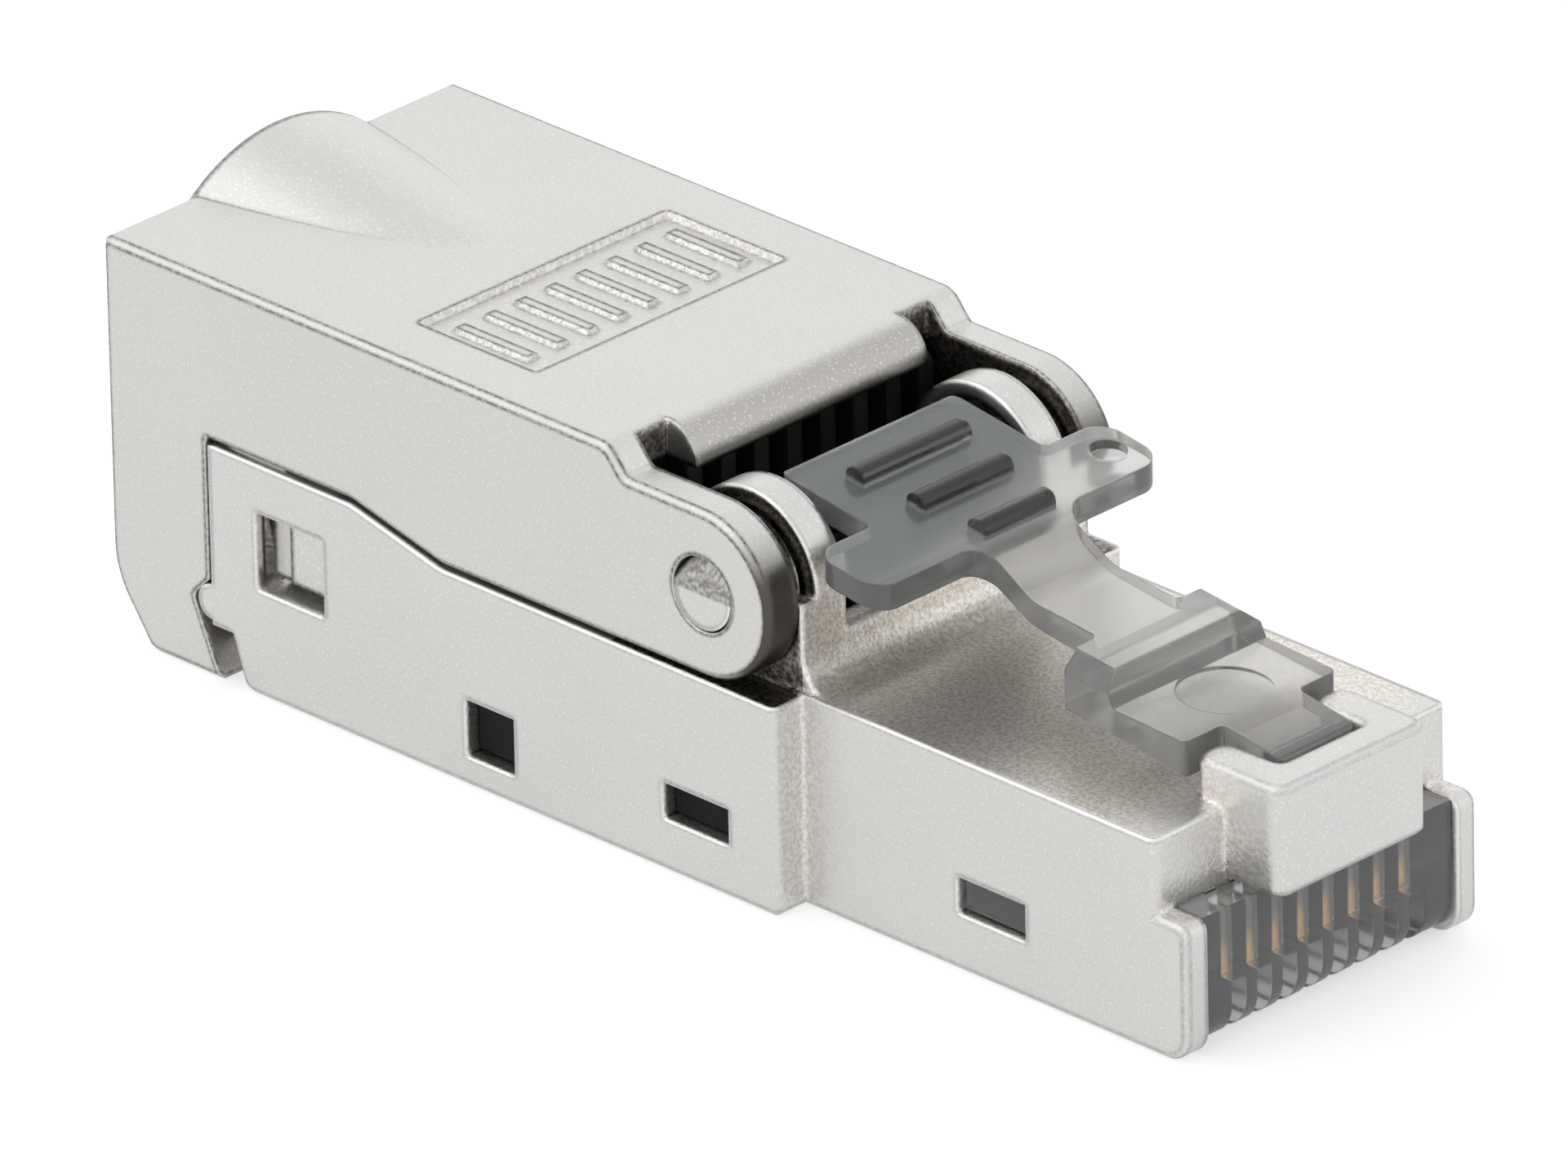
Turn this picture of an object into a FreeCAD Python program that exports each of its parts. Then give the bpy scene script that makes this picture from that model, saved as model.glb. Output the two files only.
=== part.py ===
import FreeCAD, Part
import math
import os
import Sketcher

# A shielded eight-way modular plug for field termination: a die-cast lower housing with
# the nose that enters the socket, a die-cast cover hinged over it, a moulded release latch,
# and the contacts, board and wire manager that lie inside. All sizes are in millimetres.
# Along the plug, x is measured from the shoulder where the nose starts and grows towards
# the nose's tip; y is across; z is up from the underside. Names that end in _back are
# distances behind the shoulder.

SIZES = {
    # Lower housing, body part
    "body_width": 14.0,
    "side_drop": 0.1,
    "shelf_rise": 0.85,
    "slope_radius": 1.5,
    "slope_front_back": 13.2,
    "slope_rear_back": 16.8,
    "side_rear_back": 22.5,
    "side_wall": 1.15,
    "floor_thickness": 1.0,
    "front_wall": 0.8,
    "front_wall_rise": 1.4,
    "front_fillet": 1.0,
    "casting_round": 0.25,
    "casting_bevel": 0.18,
    "foot_back": 21.3,
    "foot_radius": 0.5,
    # Slot for prying the cover open, and the half-round detent above it
    "pry_height": 1.7,
    "pry_depth": 0.65,
    "detent_height": 2.4,
    "detent_radius": 0.55,
    # Nose with its two front ears and the key block that holds the latch
    "nose_width": 11.7,
    "nose_height": 6.6,
    "nose_length": 13.6,
    "nose_wall": 0.85,
    "nose_roof": 0.9,
    "bridge_wall": 0.7,
    "comb_opening_start": 7.0,
    "ear_reach": 1.2,
    "ear_height": 4.3,
    "ear_corner": 0.9,
    "ear_top_corner": 0.4,
    "key_width": 6.0,
    "key_start": 12.3,
    "key_reach": 2.1,
    "key_rise": 1.2,
    "key_sill": 4.4,
    "key_corner": 0.5,
    "key_bevel": 0.15,
    "key_arm_radius": 0.6,
    "latch_slot_corner": 0.2,
    "latch_slot_end": 14.45,
    # Windows in the side walls
    "window_one_back": 10.35,
    "window_one_length": 1.95,
    "window_one_base": 0.95,
    "window_one_height": 1.8,
    "window_two_back": 1.85,
    "window_two_length": 2.6,
    "window_two_base": 1.65,
    "window_two_height": 1.15,
    "nose_window_start": 5.95,
    "nose_window_length": 2.65,
    "nose_window_base": 1.8,
    "nose_window_height": 1.15,
    "snap_window_back": 17.9,
    "snap_window_length": 2.75,
    "snap_window_base": 3.4,
    "snap_window_height": 2.45,
    # Hinge
    "pin_back": 2.7,
    "pin_rise": 2.6,
    "pin_radius": 1.08,
    "pin_clearance": 0.07,
    "pin_ramp_depth": 0.55,
    "lug_radius": 1.95,
    "lug_gap": 0.1,
    "lug_thickness": 0.6,
    "lug_base": 5.0,
    "strap_radius": 2.6,
    "strap_thickness": 0.5,
    "strap_width": 1.1,
    "strap_step": 0.05,
    # Hinged cover
    "cover_rise": 3.4,
    "cover_wall": 1.2,
    "cover_roof": 1.2,
    "cover_rear_back": 26.6,
    "cover_rear_wall": 1.2,
    "cover_foot_back": 25.1,
    "cover_heel_height": 2.1,
    "cover_heel_radius": 3.0,
    "cover_front_back": 6.4,
    "cover_corner_radius": 0.7,
    "cover_rear_corner": 0.25,
    "cover_notch_radius": 0.2,
    "lip_reach": 1.2,
    "lip_inset": 0.45,
    "seam": 0.12,
    "part_gap": 0.15,
    "label_back": 11.2,
    "label_length": 4.7,
    "label_margin": 2.05,
    "label_depth": 0.2,
    "bar_length": 2.9,
    "bar_width": 0.42,
    "bar_rise": 0.14,
    "bar_margin": 0.75,
    "tab_thickness": 0.9,
    "tab_depth": 3.95,
    "tab_lug_reach": 0.7,
    "tab_lug_step": 0.12,
    "tab_lead": 0.25,
    "tab_room": 0.15,
    "tab_swing": 1.3,
    # Cable entry and the bulge over it
    "cable_drop": 1.05,
    "cable_radius": 4.4,
    "bulge_wall": 1.2,
    "bulge_end_back": 18.4,
    "cradle_drop": 0.15,
    "cradle_length": 1.5,
    # Release latch
    "latch_thickness": 0.72,
    "latch_tail_back": 3.3,
    "latch_tail_rise": 5.0,
    "latch_tail_radius": 0.3,
    "latch_pad_room": 0.5,
    "latch_pad_corner": 0.6,
    "wing_start": 0.45,
    "wing_end": 2.9,
    "wing_rise": 4.12,
    "wing_inset": 0.1,
    "wing_corner": 0.8,
    "arm_width": 3.2,
    "bend_at": 4.9,
    "bend_rise": 2.95,
    "bend_radius": 1.5,
    "hook_start": 7.4,
    "hook_end": 8.95,
    "hook_rise": 2.55,
    "hook_thickness": 1.5,
    "hook_width": 6.1,
    "hook_chamfer": 0.55,
    "table_start": 9.4,
    "table_end": 12.1,
    "table_rise": 1.65,
    "table_fall": 0.12,
    "table_thickness": 0.8,
    "tongue_width": 3.0,
    "tongue_rise": 1.18,
    "tongue_thickness": 0.75,
    "tongue_end": 14.3,
    "latch_pivot": 13.7,
    "latch_bead": 0.42,
    "latch_clearance": 0.15,
    "latch_corner": 0.2,
    "rib_width": 0.72,
    "rib_rise": 0.45,
    "rib_spacing": 2.0,
    "rib_round": 0.3,
    "rib_setback": 0.35,
    "rib_length": 4.3,
    "rib_shortening": 0.75,
    "mould_mark_radius": 0.55,
    "mould_mark_depth": 0.12,
    "mould_mark_inset": 1.0,
    "table_mark_radius": 1.4,
    "table_mark_depth": 0.06,
    # Contacts and their carrier
    "contact_count": 8,
    "contact_pitch": 1.016,
    "contact_thickness": 0.35,
    "contact_slot": 0.6,
    "contact_slit": 0.45,
    "contact_crown": 1.0,
    "contact_front": 13.5,
    "contact_heel": 9.8,
    "contact_nose_radius": 0.5,
    "contact_tail": 6.4,
    "contact_stagger": 1.2,
    "contact_foil": 0.3,
    "contact_room": 0.12,
    "comb_front": 14.6,
    "comb_slot_height": 1.9,
    "comb_corner": 1.1,
    "comb_start": 3.2,
    "comb_gap": 0.05,
    "comb_shoulder": 0.4,
    "carrier_lug_inset": 0.3,
    # Board with its tray, insulation-displacement block and contacts
    "board_base": 3.4,
    "board_thickness": 0.8,
    "board_rear_back": 13.8,
    "board_end": 8.7,
    "board_side_gap": 0.4,
    "tray_floor": 0.8,
    "tray_rail": 0.9,
    "tray_rear_back": 14.2,
    "tray_lug_reach": 0.7,
    "block_rear_back": 13.5,
    "block_front_back": 5.8,
    "block_height": 2.8,
    "fork_count": 8,
    "fork_share": 0.58,
    "fork_thickness": 0.4,
    "fork_slot": 0.4,
    "fork_slot_depth": 2.1,
    "fork_top": 8.6,
    "fork_tip": 0.3,
    "fork_pin_width": 0.5,
    "fork_room": 0.15,
    "fork_row_back": 7.6,
    "fork_row_spacing": 3.9,
    "fork_margin": 1.75,
    "block_round": 0.3,
    "trench_depth": 1.0,
    "manager_front_back": 5.95,
    "manager_rear_back": 14.8,
    "manager_gap": 0.2,
    "manager_side_gap": 0.25,
    "manager_round": 0.4,
    "manager_groove": 0.75,
    "manager_groove_depth": 0.9,
    "manager_groove_sill": 0.5,
    "manager_end_margin": 0.95,
    "wire_room": 0.95,
    "wire_height": 8.3,
    "wire_stop": 1.6,
    # Shield spring under the cable
    "spring_thickness": 0.3,
    "spring_front_back": 15.6,
    "spring_rear_back": 20.8,
    "spring_top_gap": 0.05,
    "spring_splay": 0.85,
    "spring_bend": 0.5,
    "spring_height": 5.0,
    "spring_slit": 0.5,
    "spring_root": 1.3,
    # Overlap of joined forms, reach of a cut past a face, and reach of a cut that goes through
    "overlap": 0.5,
    "cut_past": 0.1,
    "beyond": 30.0,
}

doc = FreeCAD.newDocument("shielded_plug")
sheet = doc.addObject("Spreadsheet::Sheet", "sizes")
for row, (alias, value) in enumerate(SIZES.items(), start=1):
    sheet.set(f"A{row}", alias)
    sheet.set(f"B{row}", str(value))
    sheet.setAlias(f"B{row}", alias)
doc.recompute()


# Sizes and the arithmetic on them

class Size:
    """A length with the sheet's expression for it and its present value."""

    def __init__(self, text, value):
        self.text = text
        self.value = value

    def __float__(self):
        return float(self.value)

    def __neg__(self):
        return Size(f"(0 - {self.text})", -self.value)

    def __add__(self, other):
        return combined(self, "+", other, float(self) + float(other))

    def __radd__(self, other):
        return combined(other, "+", self, float(other) + float(self))

    def __sub__(self, other):
        return combined(self, "-", other, float(self) - float(other))

    def __rsub__(self, other):
        return combined(other, "-", self, float(other) - float(self))

    def __mul__(self, other):
        return combined(self, "*", other, float(self) * float(other))

    def __rmul__(self, other):
        return combined(other, "*", self, float(other) * float(self))

    def __truediv__(self, other):
        return combined(self, "/", other, float(self) / float(other))


def combined(left, sign, right, value):
    return Size(f"({text_of(left)} {sign} {text_of(right)})", value)


def text_of(quantity):
    if isinstance(quantity, Size):
        return quantity.text
    return f"({float(quantity)!r})"


class SheetSizes:
    """Gives each alias of the sheet as a Size."""

    def __getattr__(self, alias):
        return Size(f"sizes.{alias}", sheet.get(alias))


size = SheetSizes()


# Drawing and feature helpers

class Disc:
    """A full circle in a sketch."""

    def __init__(self, across, up, radius):
        self.across = across
        self.up = up
        self.radius = radius


def new_body(label):
    """A sub-part; x moves so that the finished plug is centred on the origin."""
    body = doc.addObject("PartDesign::Body", label)
    body.Label = label
    body.setExpression("Placement.Base.x", text_of(centre_shift()))
    return body


def centre_shift():
    return (size.cover_rear_back - key_front()) / 2


def key_front():
    return size.nose_length + size.key_reach


def fix_point(sketch, constraints, drivers, geometry, position, across, up):
    """Hold a point of the sketch at its two distances from the sketch's origin."""
    for kind, distance in (("DistanceX", across), ("DistanceY", up)):
        drivers.append((len(constraints), distance))
        constraints.append(
            Sketcher.Constraint(kind, -1, 1, geometry, position, float(distance)))


def draw_disc(sketch, disc):
    centre = FreeCAD.Vector(float(disc.across), float(disc.up), 0)
    up = FreeCAD.Vector(0, 0, 1)
    ring = sketch.addGeometry(Part.Circle(centre, up, float(disc.radius)))
    constraints = []
    drivers = []
    fix_point(sketch, constraints, drivers, ring, 3, disc.across, disc.up)
    drivers.append((len(constraints), disc.radius))
    constraints.append(Sketcher.Constraint("Radius", ring, float(disc.radius)))
    bind(sketch, constraints, drivers)


def draw_outline(sketch, corners):
    """A closed outline. A corner is (across, up), or (across, up, radius) where it is round."""
    count = len(corners)
    points = [FreeCAD.Vector(float(c[0]), float(c[1]), 0) for c in corners]
    arrivals = []
    departures = []
    rounds = {}
    for index, corner in enumerate(corners):
        here = points[index]
        if len(corner) == 2:
            arrivals.append(here)
            departures.append(here)
            continue
        before = (points[index - 1] - here).normalize()
        after = (points[(index + 1) % count] - here).normalize()
        half_angle = before.getAngle(after) / 2
        radius = float(corner[2])
        arrivals.append(here + before * (radius / math.tan(half_angle)))
        departures.append(here + after * (radius / math.tan(half_angle)))
        centre = here + (before + after).normalize() * (radius / math.sin(half_angle))
        rounds[index] = (centre, radius, (after.cross(before)).z > 0)
    lines = []
    for index in range(count):
        line = Part.LineSegment(departures[index], arrivals[(index + 1) % count])
        lines.append(sketch.addGeometry(line))
    constraints = []
    drivers = []
    for index, corner in enumerate(corners):
        arriving = lines[index - 1]
        leaving = lines[index]
        if index not in rounds:
            constraints.append(Sketcher.Constraint("Coincident", arriving, 2, leaving, 1))
            fix_point(sketch, constraints, drivers, leaving, 1, corner[0], corner[1])
            continue
        centre, radius, turns_left = rounds[index]
        circle = Part.Circle(centre, FreeCAD.Vector(0, 0, 1), radius)
        first = arrivals[index] if turns_left else departures[index]
        last = departures[index] if turns_left else arrivals[index]
        first_angle = math.atan2(first.y - centre.y, first.x - centre.x)
        last_angle = math.atan2(last.y - centre.y, last.x - centre.x)
        arc = sketch.addGeometry(Part.ArcOfCircle(circle, first_angle, last_angle))
        apex = sketch.addGeometry(Part.Point(points[index]), True)
        start, end = (1, 2) if turns_left else (2, 1)
        constraints.append(Sketcher.Constraint("Tangent", arriving, 2, arc, start))
        constraints.append(Sketcher.Constraint("Tangent", arc, end, leaving, 1))
        constraints.append(Sketcher.Constraint("PointOnObject", apex, 1, arriving))
        constraints.append(Sketcher.Constraint("PointOnObject", apex, 1, leaving))
        fix_point(sketch, constraints, drivers, apex, 1, corner[0], corner[1])
        drivers.append((len(constraints), corner[2]))
        constraints.append(Sketcher.Constraint("Radius", arc, radius))
    bind(sketch, constraints, drivers)


def bind(sketch, constraints, drivers):
    """Add the constraints, and tie each driving one to its expression in the sheet."""
    first = sketch.ConstraintCount
    sketch.addConstraint(constraints)
    for index, distance in drivers:
        if isinstance(distance, Size):
            sketch.setExpression(f"Constraints[{first + index}]", distance.text)


def plane_sketch(body, name, plane, offset, loops):
    """A sketch parallel to one of the body's origin planes, at an offset along its normal."""
    sketch = body.newObject("Sketcher::SketchObject", name)
    for feature in body.Origin.OriginFeatures:
        if feature.Role == plane:
            sketch.AttachmentSupport = (feature, [""])
    sketch.MapMode = "FlatFace"
    sketch.setExpression("AttachmentOffset.Base.z", text_of(offset))
    for loop in loops:
        if isinstance(loop, Disc):
            draw_disc(sketch, loop)
        else:
            draw_outline(sketch, loop)
    return sketch


def extrude(body, kind, name, plane, loops, low, high):
    """Pad or pocket the loops between two positions along the plane's axis."""
    # The normal of the plane across the plug points to its right-hand side, towards -y.
    offset = -1 * high if plane == "XZ_Plane" else low
    sketch = plane_sketch(body, f"{name}_outline", plane, offset, loops)
    feature = body.newObject(f"PartDesign::{kind}", name)
    feature.Profile = sketch
    feature.setExpression("Length", text_of(high - low))
    feature.Reversed = kind == "Pocket"
    body.Tip = feature
    return feature


def pad(body, name, plane, loops, low, high):
    return extrude(body, "Pad", name, plane, loops, low, high)


def pocket(body, name, plane, loops, low, high):
    return extrude(body, "Pocket", name, plane, loops, low, high)


def box_outline(across_low, across_high, up_low, up_high):
    return [(across_low, up_low), (across_high, up_low),
            (across_high, up_high), (across_low, up_high)]


def side_span(side, near, far):
    """The y range from near to far on the left (+1) or right (-1) of the plug."""
    if side > 0:
        return near, far
    return -1 * far, -1 * near


def sided(side, outline):
    """Mirror an outline's across values for the right-hand side, keeping its order."""
    if side > 0:
        return outline
    return [(-1 * corner[0],) + tuple(corner[1:]) for corner in reversed(outline)]


def edges_within(shape, low, high):
    """Names of the edges whose box lies between two corners; None leaves a side open."""
    slack = 1e-4
    names = []
    for index, edge in enumerate(shape.Edges, start=1):
        bounds = edge.BoundBox
        lows = (bounds.XMin, bounds.YMin, bounds.ZMin)
        highs = (bounds.XMax, bounds.YMax, bounds.ZMax)
        above = all(l is None or v >= float(l) - slack for v, l in zip(lows, low))
        below = all(h is None or v <= float(h) + slack for v, h in zip(highs, high))
        if above and below:
            names.append(f"Edge{index}")
    return names


def ease_edges(body, kind, name, distance, boxes):
    """Fillet or chamfer the edges of the body's last feature that lie within the boxes."""
    doc.recompute()
    base = body.Tip
    names = []
    for low, high in boxes:
        names += [edge for edge in edges_within(base.Shape, low, high) if edge not in names]
    eased = body.newObject(f"PartDesign::{kind}", name)
    eased.Base = (base, names)
    eased.setExpression("Radius" if kind == "Fillet" else "Size", text_of(distance))
    body.Tip = eased
    return eased


def round_edges(body, name, radius, boxes):
    return ease_edges(body, "Fillet", name, radius, boxes)


def bevel_edges(body, name, width, boxes):
    return ease_edges(body, "Chamfer", name, width, boxes)


def body_half():
    return size.body_width / 2


def cavity_half():
    return body_half() - size.side_wall


def cover_inner_half():
    return body_half() - size.cover_wall


def nose_half():
    return size.nose_width / 2


def nose_cavity_half():
    return nose_half() - size.nose_wall


def lug_outer():
    return cover_inner_half() - size.lug_gap


def lug_inner():
    return lug_outer() - size.lug_thickness


def strap_outer():
    return lug_inner() - size.strap_step


def strap_inner():
    return strap_outer() - size.strap_width


def board_half():
    return cavity_half() - size.board_side_gap


def pin_x():
    return -1 * size.pin_back


def wall_face():
    """The front wall's outer face, which the straps meet on a tangent."""
    return pin_x() + size.strap_radius


def wall_back():
    return wall_face() - size.front_wall


def bridge_inside():
    return size.nose_length - size.bridge_wall


def nose_roof_inside():
    return size.nose_height - size.nose_roof


def side_height():
    return size.nose_height - size.side_drop


def shelf_height():
    return side_height() + size.shelf_rise


def pin_height():
    return size.nose_height + size.pin_rise


def cover_height():
    return pin_height() + size.cover_rise


def cover_roof_inside():
    return cover_height() - size.cover_roof


def cable_height():
    return pin_height() - size.cable_drop


def cradle_height():
    return cable_height() - size.cradle_drop


def cradle_rear():
    return size.cover_rear_wall + size.part_gap - size.cover_rear_back


def cradle_front():
    return cradle_rear() + size.cradle_length


def tongue_top():
    """Height of the latch's tongue, which lies in the slot of the key block."""
    return size.nose_height + size.tongue_rise


def arm_radius():
    """The round end of the cover's arms, whose underside follows the seam."""
    return pin_height() - side_height() - size.seam


def lug_groove_depth():
    return size.tab_lug_reach + size.part_gap / 2


# Lower housing: one die casting with the body trough, the nose, the key block,
# the cable cradle and the hinge straps, lugs and trunnions.

def make_lower_housing():
    body = new_body("lower_housing")
    far = size.beyond
    past = size.cut_past
    half = body_half()
    nose = nose_half()
    ear_front = size.nose_length + size.ear_reach

    side_outline = [
        (-1 * size.foot_back, 0, size.foot_radius),
        (0, 0),
        (0, side_height()),
        (-1 * size.slope_front_back, side_height(), size.slope_radius),
        (-1 * size.slope_rear_back, shelf_height(), size.slope_radius),
        (-1 * size.side_rear_back, shelf_height()),
        (-1 * size.side_rear_back, size.pry_height),
        (size.pry_depth - size.side_rear_back, size.pry_height),
    ]
    pad(body, "body_block", "XZ_Plane", [side_outline], -1 * half, half)
    shoulders = [((0, y, None), (0, y, None)) for y in (half, -half)]
    feet = [((None, y, 0), (None, y, 0)) for y in (half, -half)]
    round_edges(body, "shoulder_rounds", size.casting_round, shoulders)
    bevel_edges(body, "foot_bevels", size.casting_bevel, feet)

    nose_outline = [
        (-1 * size.overlap, 0),
        (ear_front, 0, size.ear_corner),
        (ear_front, size.ear_height, size.ear_top_corner),
        (size.nose_length, size.ear_height),
        (size.nose_length, size.nose_height),
        (-1 * size.overlap, size.nose_height),
    ]
    pad(body, "nose_block", "XZ_Plane", [nose_outline], -1 * nose, nose)
    nose_sides = [((size.nose_length, y, None), (size.nose_length, y, None))
                  for y in (nose, -nose)]
    nose_tops = [((0, y, size.nose_height), (None, y, size.nose_height))
                 for y in (nose, -nose)]
    round_edges(body, "nose_rounds", size.casting_round, nose_sides + nose_tops)
    ears = [((ear_front, y, None), (ear_front, y, None)) for y in (nose, -nose)]
    bevel_edges(body, "ear_bevels", size.casting_bevel, ears)

    # Key block: two arms on the nose and an apron over its front, around the latch's slot.
    key_half = size.key_width / 2
    key_top = size.nose_height + size.key_rise
    slot_half = size.tongue_width / 2 + size.latch_clearance
    bead_height = tongue_top() - size.tongue_thickness
    slot_floor = bead_height - size.latch_clearance * 1.5
    arms = [
        (size.key_start, -1 * key_half, size.key_arm_radius),
        (key_front(), -1 * key_half, size.key_corner),
        (key_front(), key_half, size.key_corner),
        (size.key_start, key_half, size.key_arm_radius),
        (size.key_start, slot_half, size.key_arm_radius),
        (size.latch_slot_end, slot_half, size.latch_slot_corner),
        (size.latch_slot_end, -1 * slot_half, size.latch_slot_corner),
        (size.key_start, -1 * slot_half, size.key_arm_radius),
    ]
    pad(body, "key_arms", "XY_Plane", [arms], nose_roof_inside(), key_top)
    apron = [
        (bridge_inside(), -1 * key_half),
        (key_front(), -1 * key_half, size.key_corner),
        (key_front(), key_half, size.key_corner),
        (bridge_inside(), key_half),
    ]
    pad(body, "key_apron", "XY_Plane", [apron], size.key_sill, slot_floor)
    bed = box_outline(size.key_start + size.key_arm_radius, bridge_inside() + size.overlap,
                      nose_roof_inside(), slot_floor)
    pad(body, "slot_bed", "XZ_Plane", [bed], -1 * slot_half - past, slot_half + past)
    bead_hole = Disc(size.latch_pivot, bead_height, size.latch_bead + size.latch_clearance)
    pocket(body, "bead_trough", "XZ_Plane", [bead_hole], -1 * slot_half, slot_half)
    rims = [((None, None, key_top), (None, None, key_top))]
    bevel_edges(body, "key_bevels", size.key_bevel, rims)
    sill_edge = [((key_front(), None, size.key_sill), (key_front(), None, size.key_sill))]
    bevel_edges(body, "key_foot_bevels", size.key_bevel, sill_edge)

    cavity = [
        (-1 * far, size.floor_thickness),
        (wall_back(), size.floor_thickness),
        (wall_back(), far),
        (-1 * far, far),
    ]
    pocket(body, "body_cavity", "XZ_Plane", [cavity], -1 * cavity_half(), cavity_half())

    nose_cavity = [
        (wall_back() - size.overlap, size.floor_thickness),
        (size.comb_opening_start, size.floor_thickness),
        (size.comb_opening_start, -1 * past),
        (far, -1 * past),
        (far, size.ear_height),
        (bridge_inside(), size.ear_height),
        (bridge_inside(), nose_roof_inside()),
        (wall_back() - size.overlap, nose_roof_inside()),
    ]
    inner = nose_cavity_half()
    pocket(body, "nose_cavity", "XZ_Plane", [nose_cavity], -1 * inner, inner)

    # Rear of the trough: a floor between the cover's cheeks, the cable cradle that stands
    # on it, and the tongue that closes the slot in the cover's rear wall.
    cradle_half = cover_inner_half() - size.part_gap
    rear_floor = box_outline(cradle_rear(), size.overlap * 2 - size.foot_back, 0,
                             size.floor_thickness)
    pad(body, "rear_floor", "XZ_Plane", [rear_floor], -1 * cradle_half, cradle_half)
    cradle = box_outline(cradle_rear(), cradle_front(), 0, cradle_height())
    pad(body, "cradle", "XZ_Plane", [cradle], -1 * cradle_half, cradle_half)
    tongue_half = size.cable_radius - size.part_gap
    tongue_rear = size.part_gap - size.cover_rear_back
    rear_tongue = [
        (tongue_rear, size.cover_heel_height, size.cover_heel_radius),
        (size.part_gap - size.cover_foot_back, 0),
        (cradle_rear() + size.overlap, 0),
        (cradle_rear() + size.overlap, cradle_height()),
        (tongue_rear, cradle_height()),
    ]
    pad(body, "rear_tongue", "XZ_Plane", [rear_tongue], -1 * tongue_half, tongue_half)
    channel = Disc(0, cable_height(), size.cable_radius)
    pocket(body, "cable_channel", "YZ_Plane", [channel], -1 * far,
           cradle_front() + size.overlap)

    # Front wall over the nose, and on each side the strap, the lug and the trunnion.
    wall_top = size.nose_height + size.front_wall_rise
    wall_outline = [
        (wall_back(), nose_roof_inside()),
        (wall_face() + size.front_fillet * 1.5, nose_roof_inside()),
        (wall_face() + size.front_fillet * 1.5, size.nose_height),
        (wall_face(), size.nose_height, size.front_fillet),
        (wall_face(), wall_top, size.casting_round),
        (wall_back(), wall_top),
    ]
    pad(body, "front_wall", "XZ_Plane", [wall_outline], -1 * lug_outer(), lug_outer())
    ring_inner = size.strap_radius - size.strap_thickness
    for side, hand in ((1, "left"), (-1, "right")):
        low, high = side_span(side, strap_inner(), lug_outer())
        column = box_outline(pin_x() + ring_inner, wall_face(), nose_roof_inside(),
                             pin_height())
        pad(body, f"column_{hand}", "XZ_Plane", [column], low, high)
        low, high = side_span(side, strap_inner(), strap_outer())
        rings = [Disc(pin_x(), pin_height(), size.strap_radius),
                 Disc(pin_x(), pin_height(), ring_inner)]
        pad(body, f"strap_{hand}", "XZ_Plane", rings, low, high)
        under_strap = box_outline(pin_x() - size.strap_radius - past, pin_x() + ring_inner,
                                  pin_height() - size.strap_radius - past, pin_height())
        pocket(body, f"strap_hollow_{hand}", "XZ_Plane", [under_strap], low, high)
        leg = box_outline(pin_x() - size.strap_radius, pin_x() - ring_inner,
                          size.lug_base, pin_height())
        pad(body, f"strap_leg_{hand}", "XZ_Plane", [leg], low, high)
        low, high = side_span(side, strap_inner(), cavity_half() + past)
        foot = box_outline(pin_x() - size.strap_radius, pin_x() - ring_inner,
                           size.lug_base, side_height() - size.seam)
        pad(body, f"strap_foot_{hand}", "XZ_Plane", [foot], low, high)
        low, high = side_span(side, lug_inner(), lug_outer())
        lug_disc = Disc(pin_x(), pin_height(), size.lug_radius)
        pad(body, f"lug_disc_{hand}", "XZ_Plane", [lug_disc], low, high)
        lug_stem = box_outline(pin_x() - size.lug_radius, wall_back() + size.overlap,
                               size.lug_base, pin_height())
        pad(body, f"lug_stem_{hand}", "XZ_Plane", [lug_stem], low, high)
        low, high = side_span(side, lug_inner(), cavity_half() + past)
        lug_root = box_outline(pin_x() - size.lug_radius, wall_back() + size.overlap,
                               size.lug_base, side_height() - size.seam)
        pad(body, f"lug_root_{hand}", "XZ_Plane", [lug_root], low, high)
        low, high = side_span(side, lug_outer() - past, half)
        trunnion = Disc(pin_x(), pin_height(), size.pin_radius)
        pad(body, f"trunnion_{hand}", "XZ_Plane", [trunnion], low, high)
        ramp = [(half - size.pin_ramp_depth, pin_height() + size.pin_radius + past),
                (half + past, pin_height()),
                (half + past, pin_height() + size.pin_radius + past)]
        pocket(body, f"trunnion_ramp_{hand}", "YZ_Plane", [sided(side, ramp)],
               pin_x() - size.pin_radius - past, pin_x() + size.pin_radius + past)

        # Detent bump on the rear edge, and the windows with the inner groove that lets
        # the cover's lug down to its window.
        low, high = side_span(side, cavity_half(), half)
        detent = Disc(-1 * size.side_rear_back, size.detent_height, size.detent_radius)
        pad(body, f"detent_{hand}", "XZ_Plane", [detent], low, high)
        low, high = side_span(side, cavity_half() - past, half + past)
        snap_rear = -1 * size.snap_window_back - size.snap_window_length
        snap_top = size.snap_window_base + size.snap_window_height
        windows = [
            box_outline(-1 * size.window_one_back - size.window_one_length,
                        -1 * size.window_one_back, size.window_one_base,
                        size.window_one_base + size.window_one_height),
            box_outline(-1 * size.window_two_back - size.window_two_length,
                        -1 * size.window_two_back, size.window_two_base,
                        size.window_two_base + size.window_two_height),
            box_outline(snap_rear, -1 * size.snap_window_back, size.snap_window_base,
                        snap_top),
        ]
        pocket(body, f"windows_{hand}", "XZ_Plane", windows, low, high)
        low, high = side_span(side, cavity_half() - past, cavity_half() + lug_groove_depth())
        groove = [
            (snap_rear, size.snap_window_base),
            (-1 * size.snap_window_back, size.snap_window_base),
            (-1 * size.snap_window_back, far),
            (snap_rear - size.tab_swing, far),
            (snap_rear - size.tab_swing, shelf_height()),
        ]
        pocket(body, f"lug_groove_{hand}", "XZ_Plane", [groove], low, high)
        low, high = side_span(side, inner - past, nose + past)
        nose_window = box_outline(size.nose_window_start,
                                  size.nose_window_start + size.nose_window_length,
                                  size.nose_window_base,
                                  size.nose_window_base + size.nose_window_height)
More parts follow.
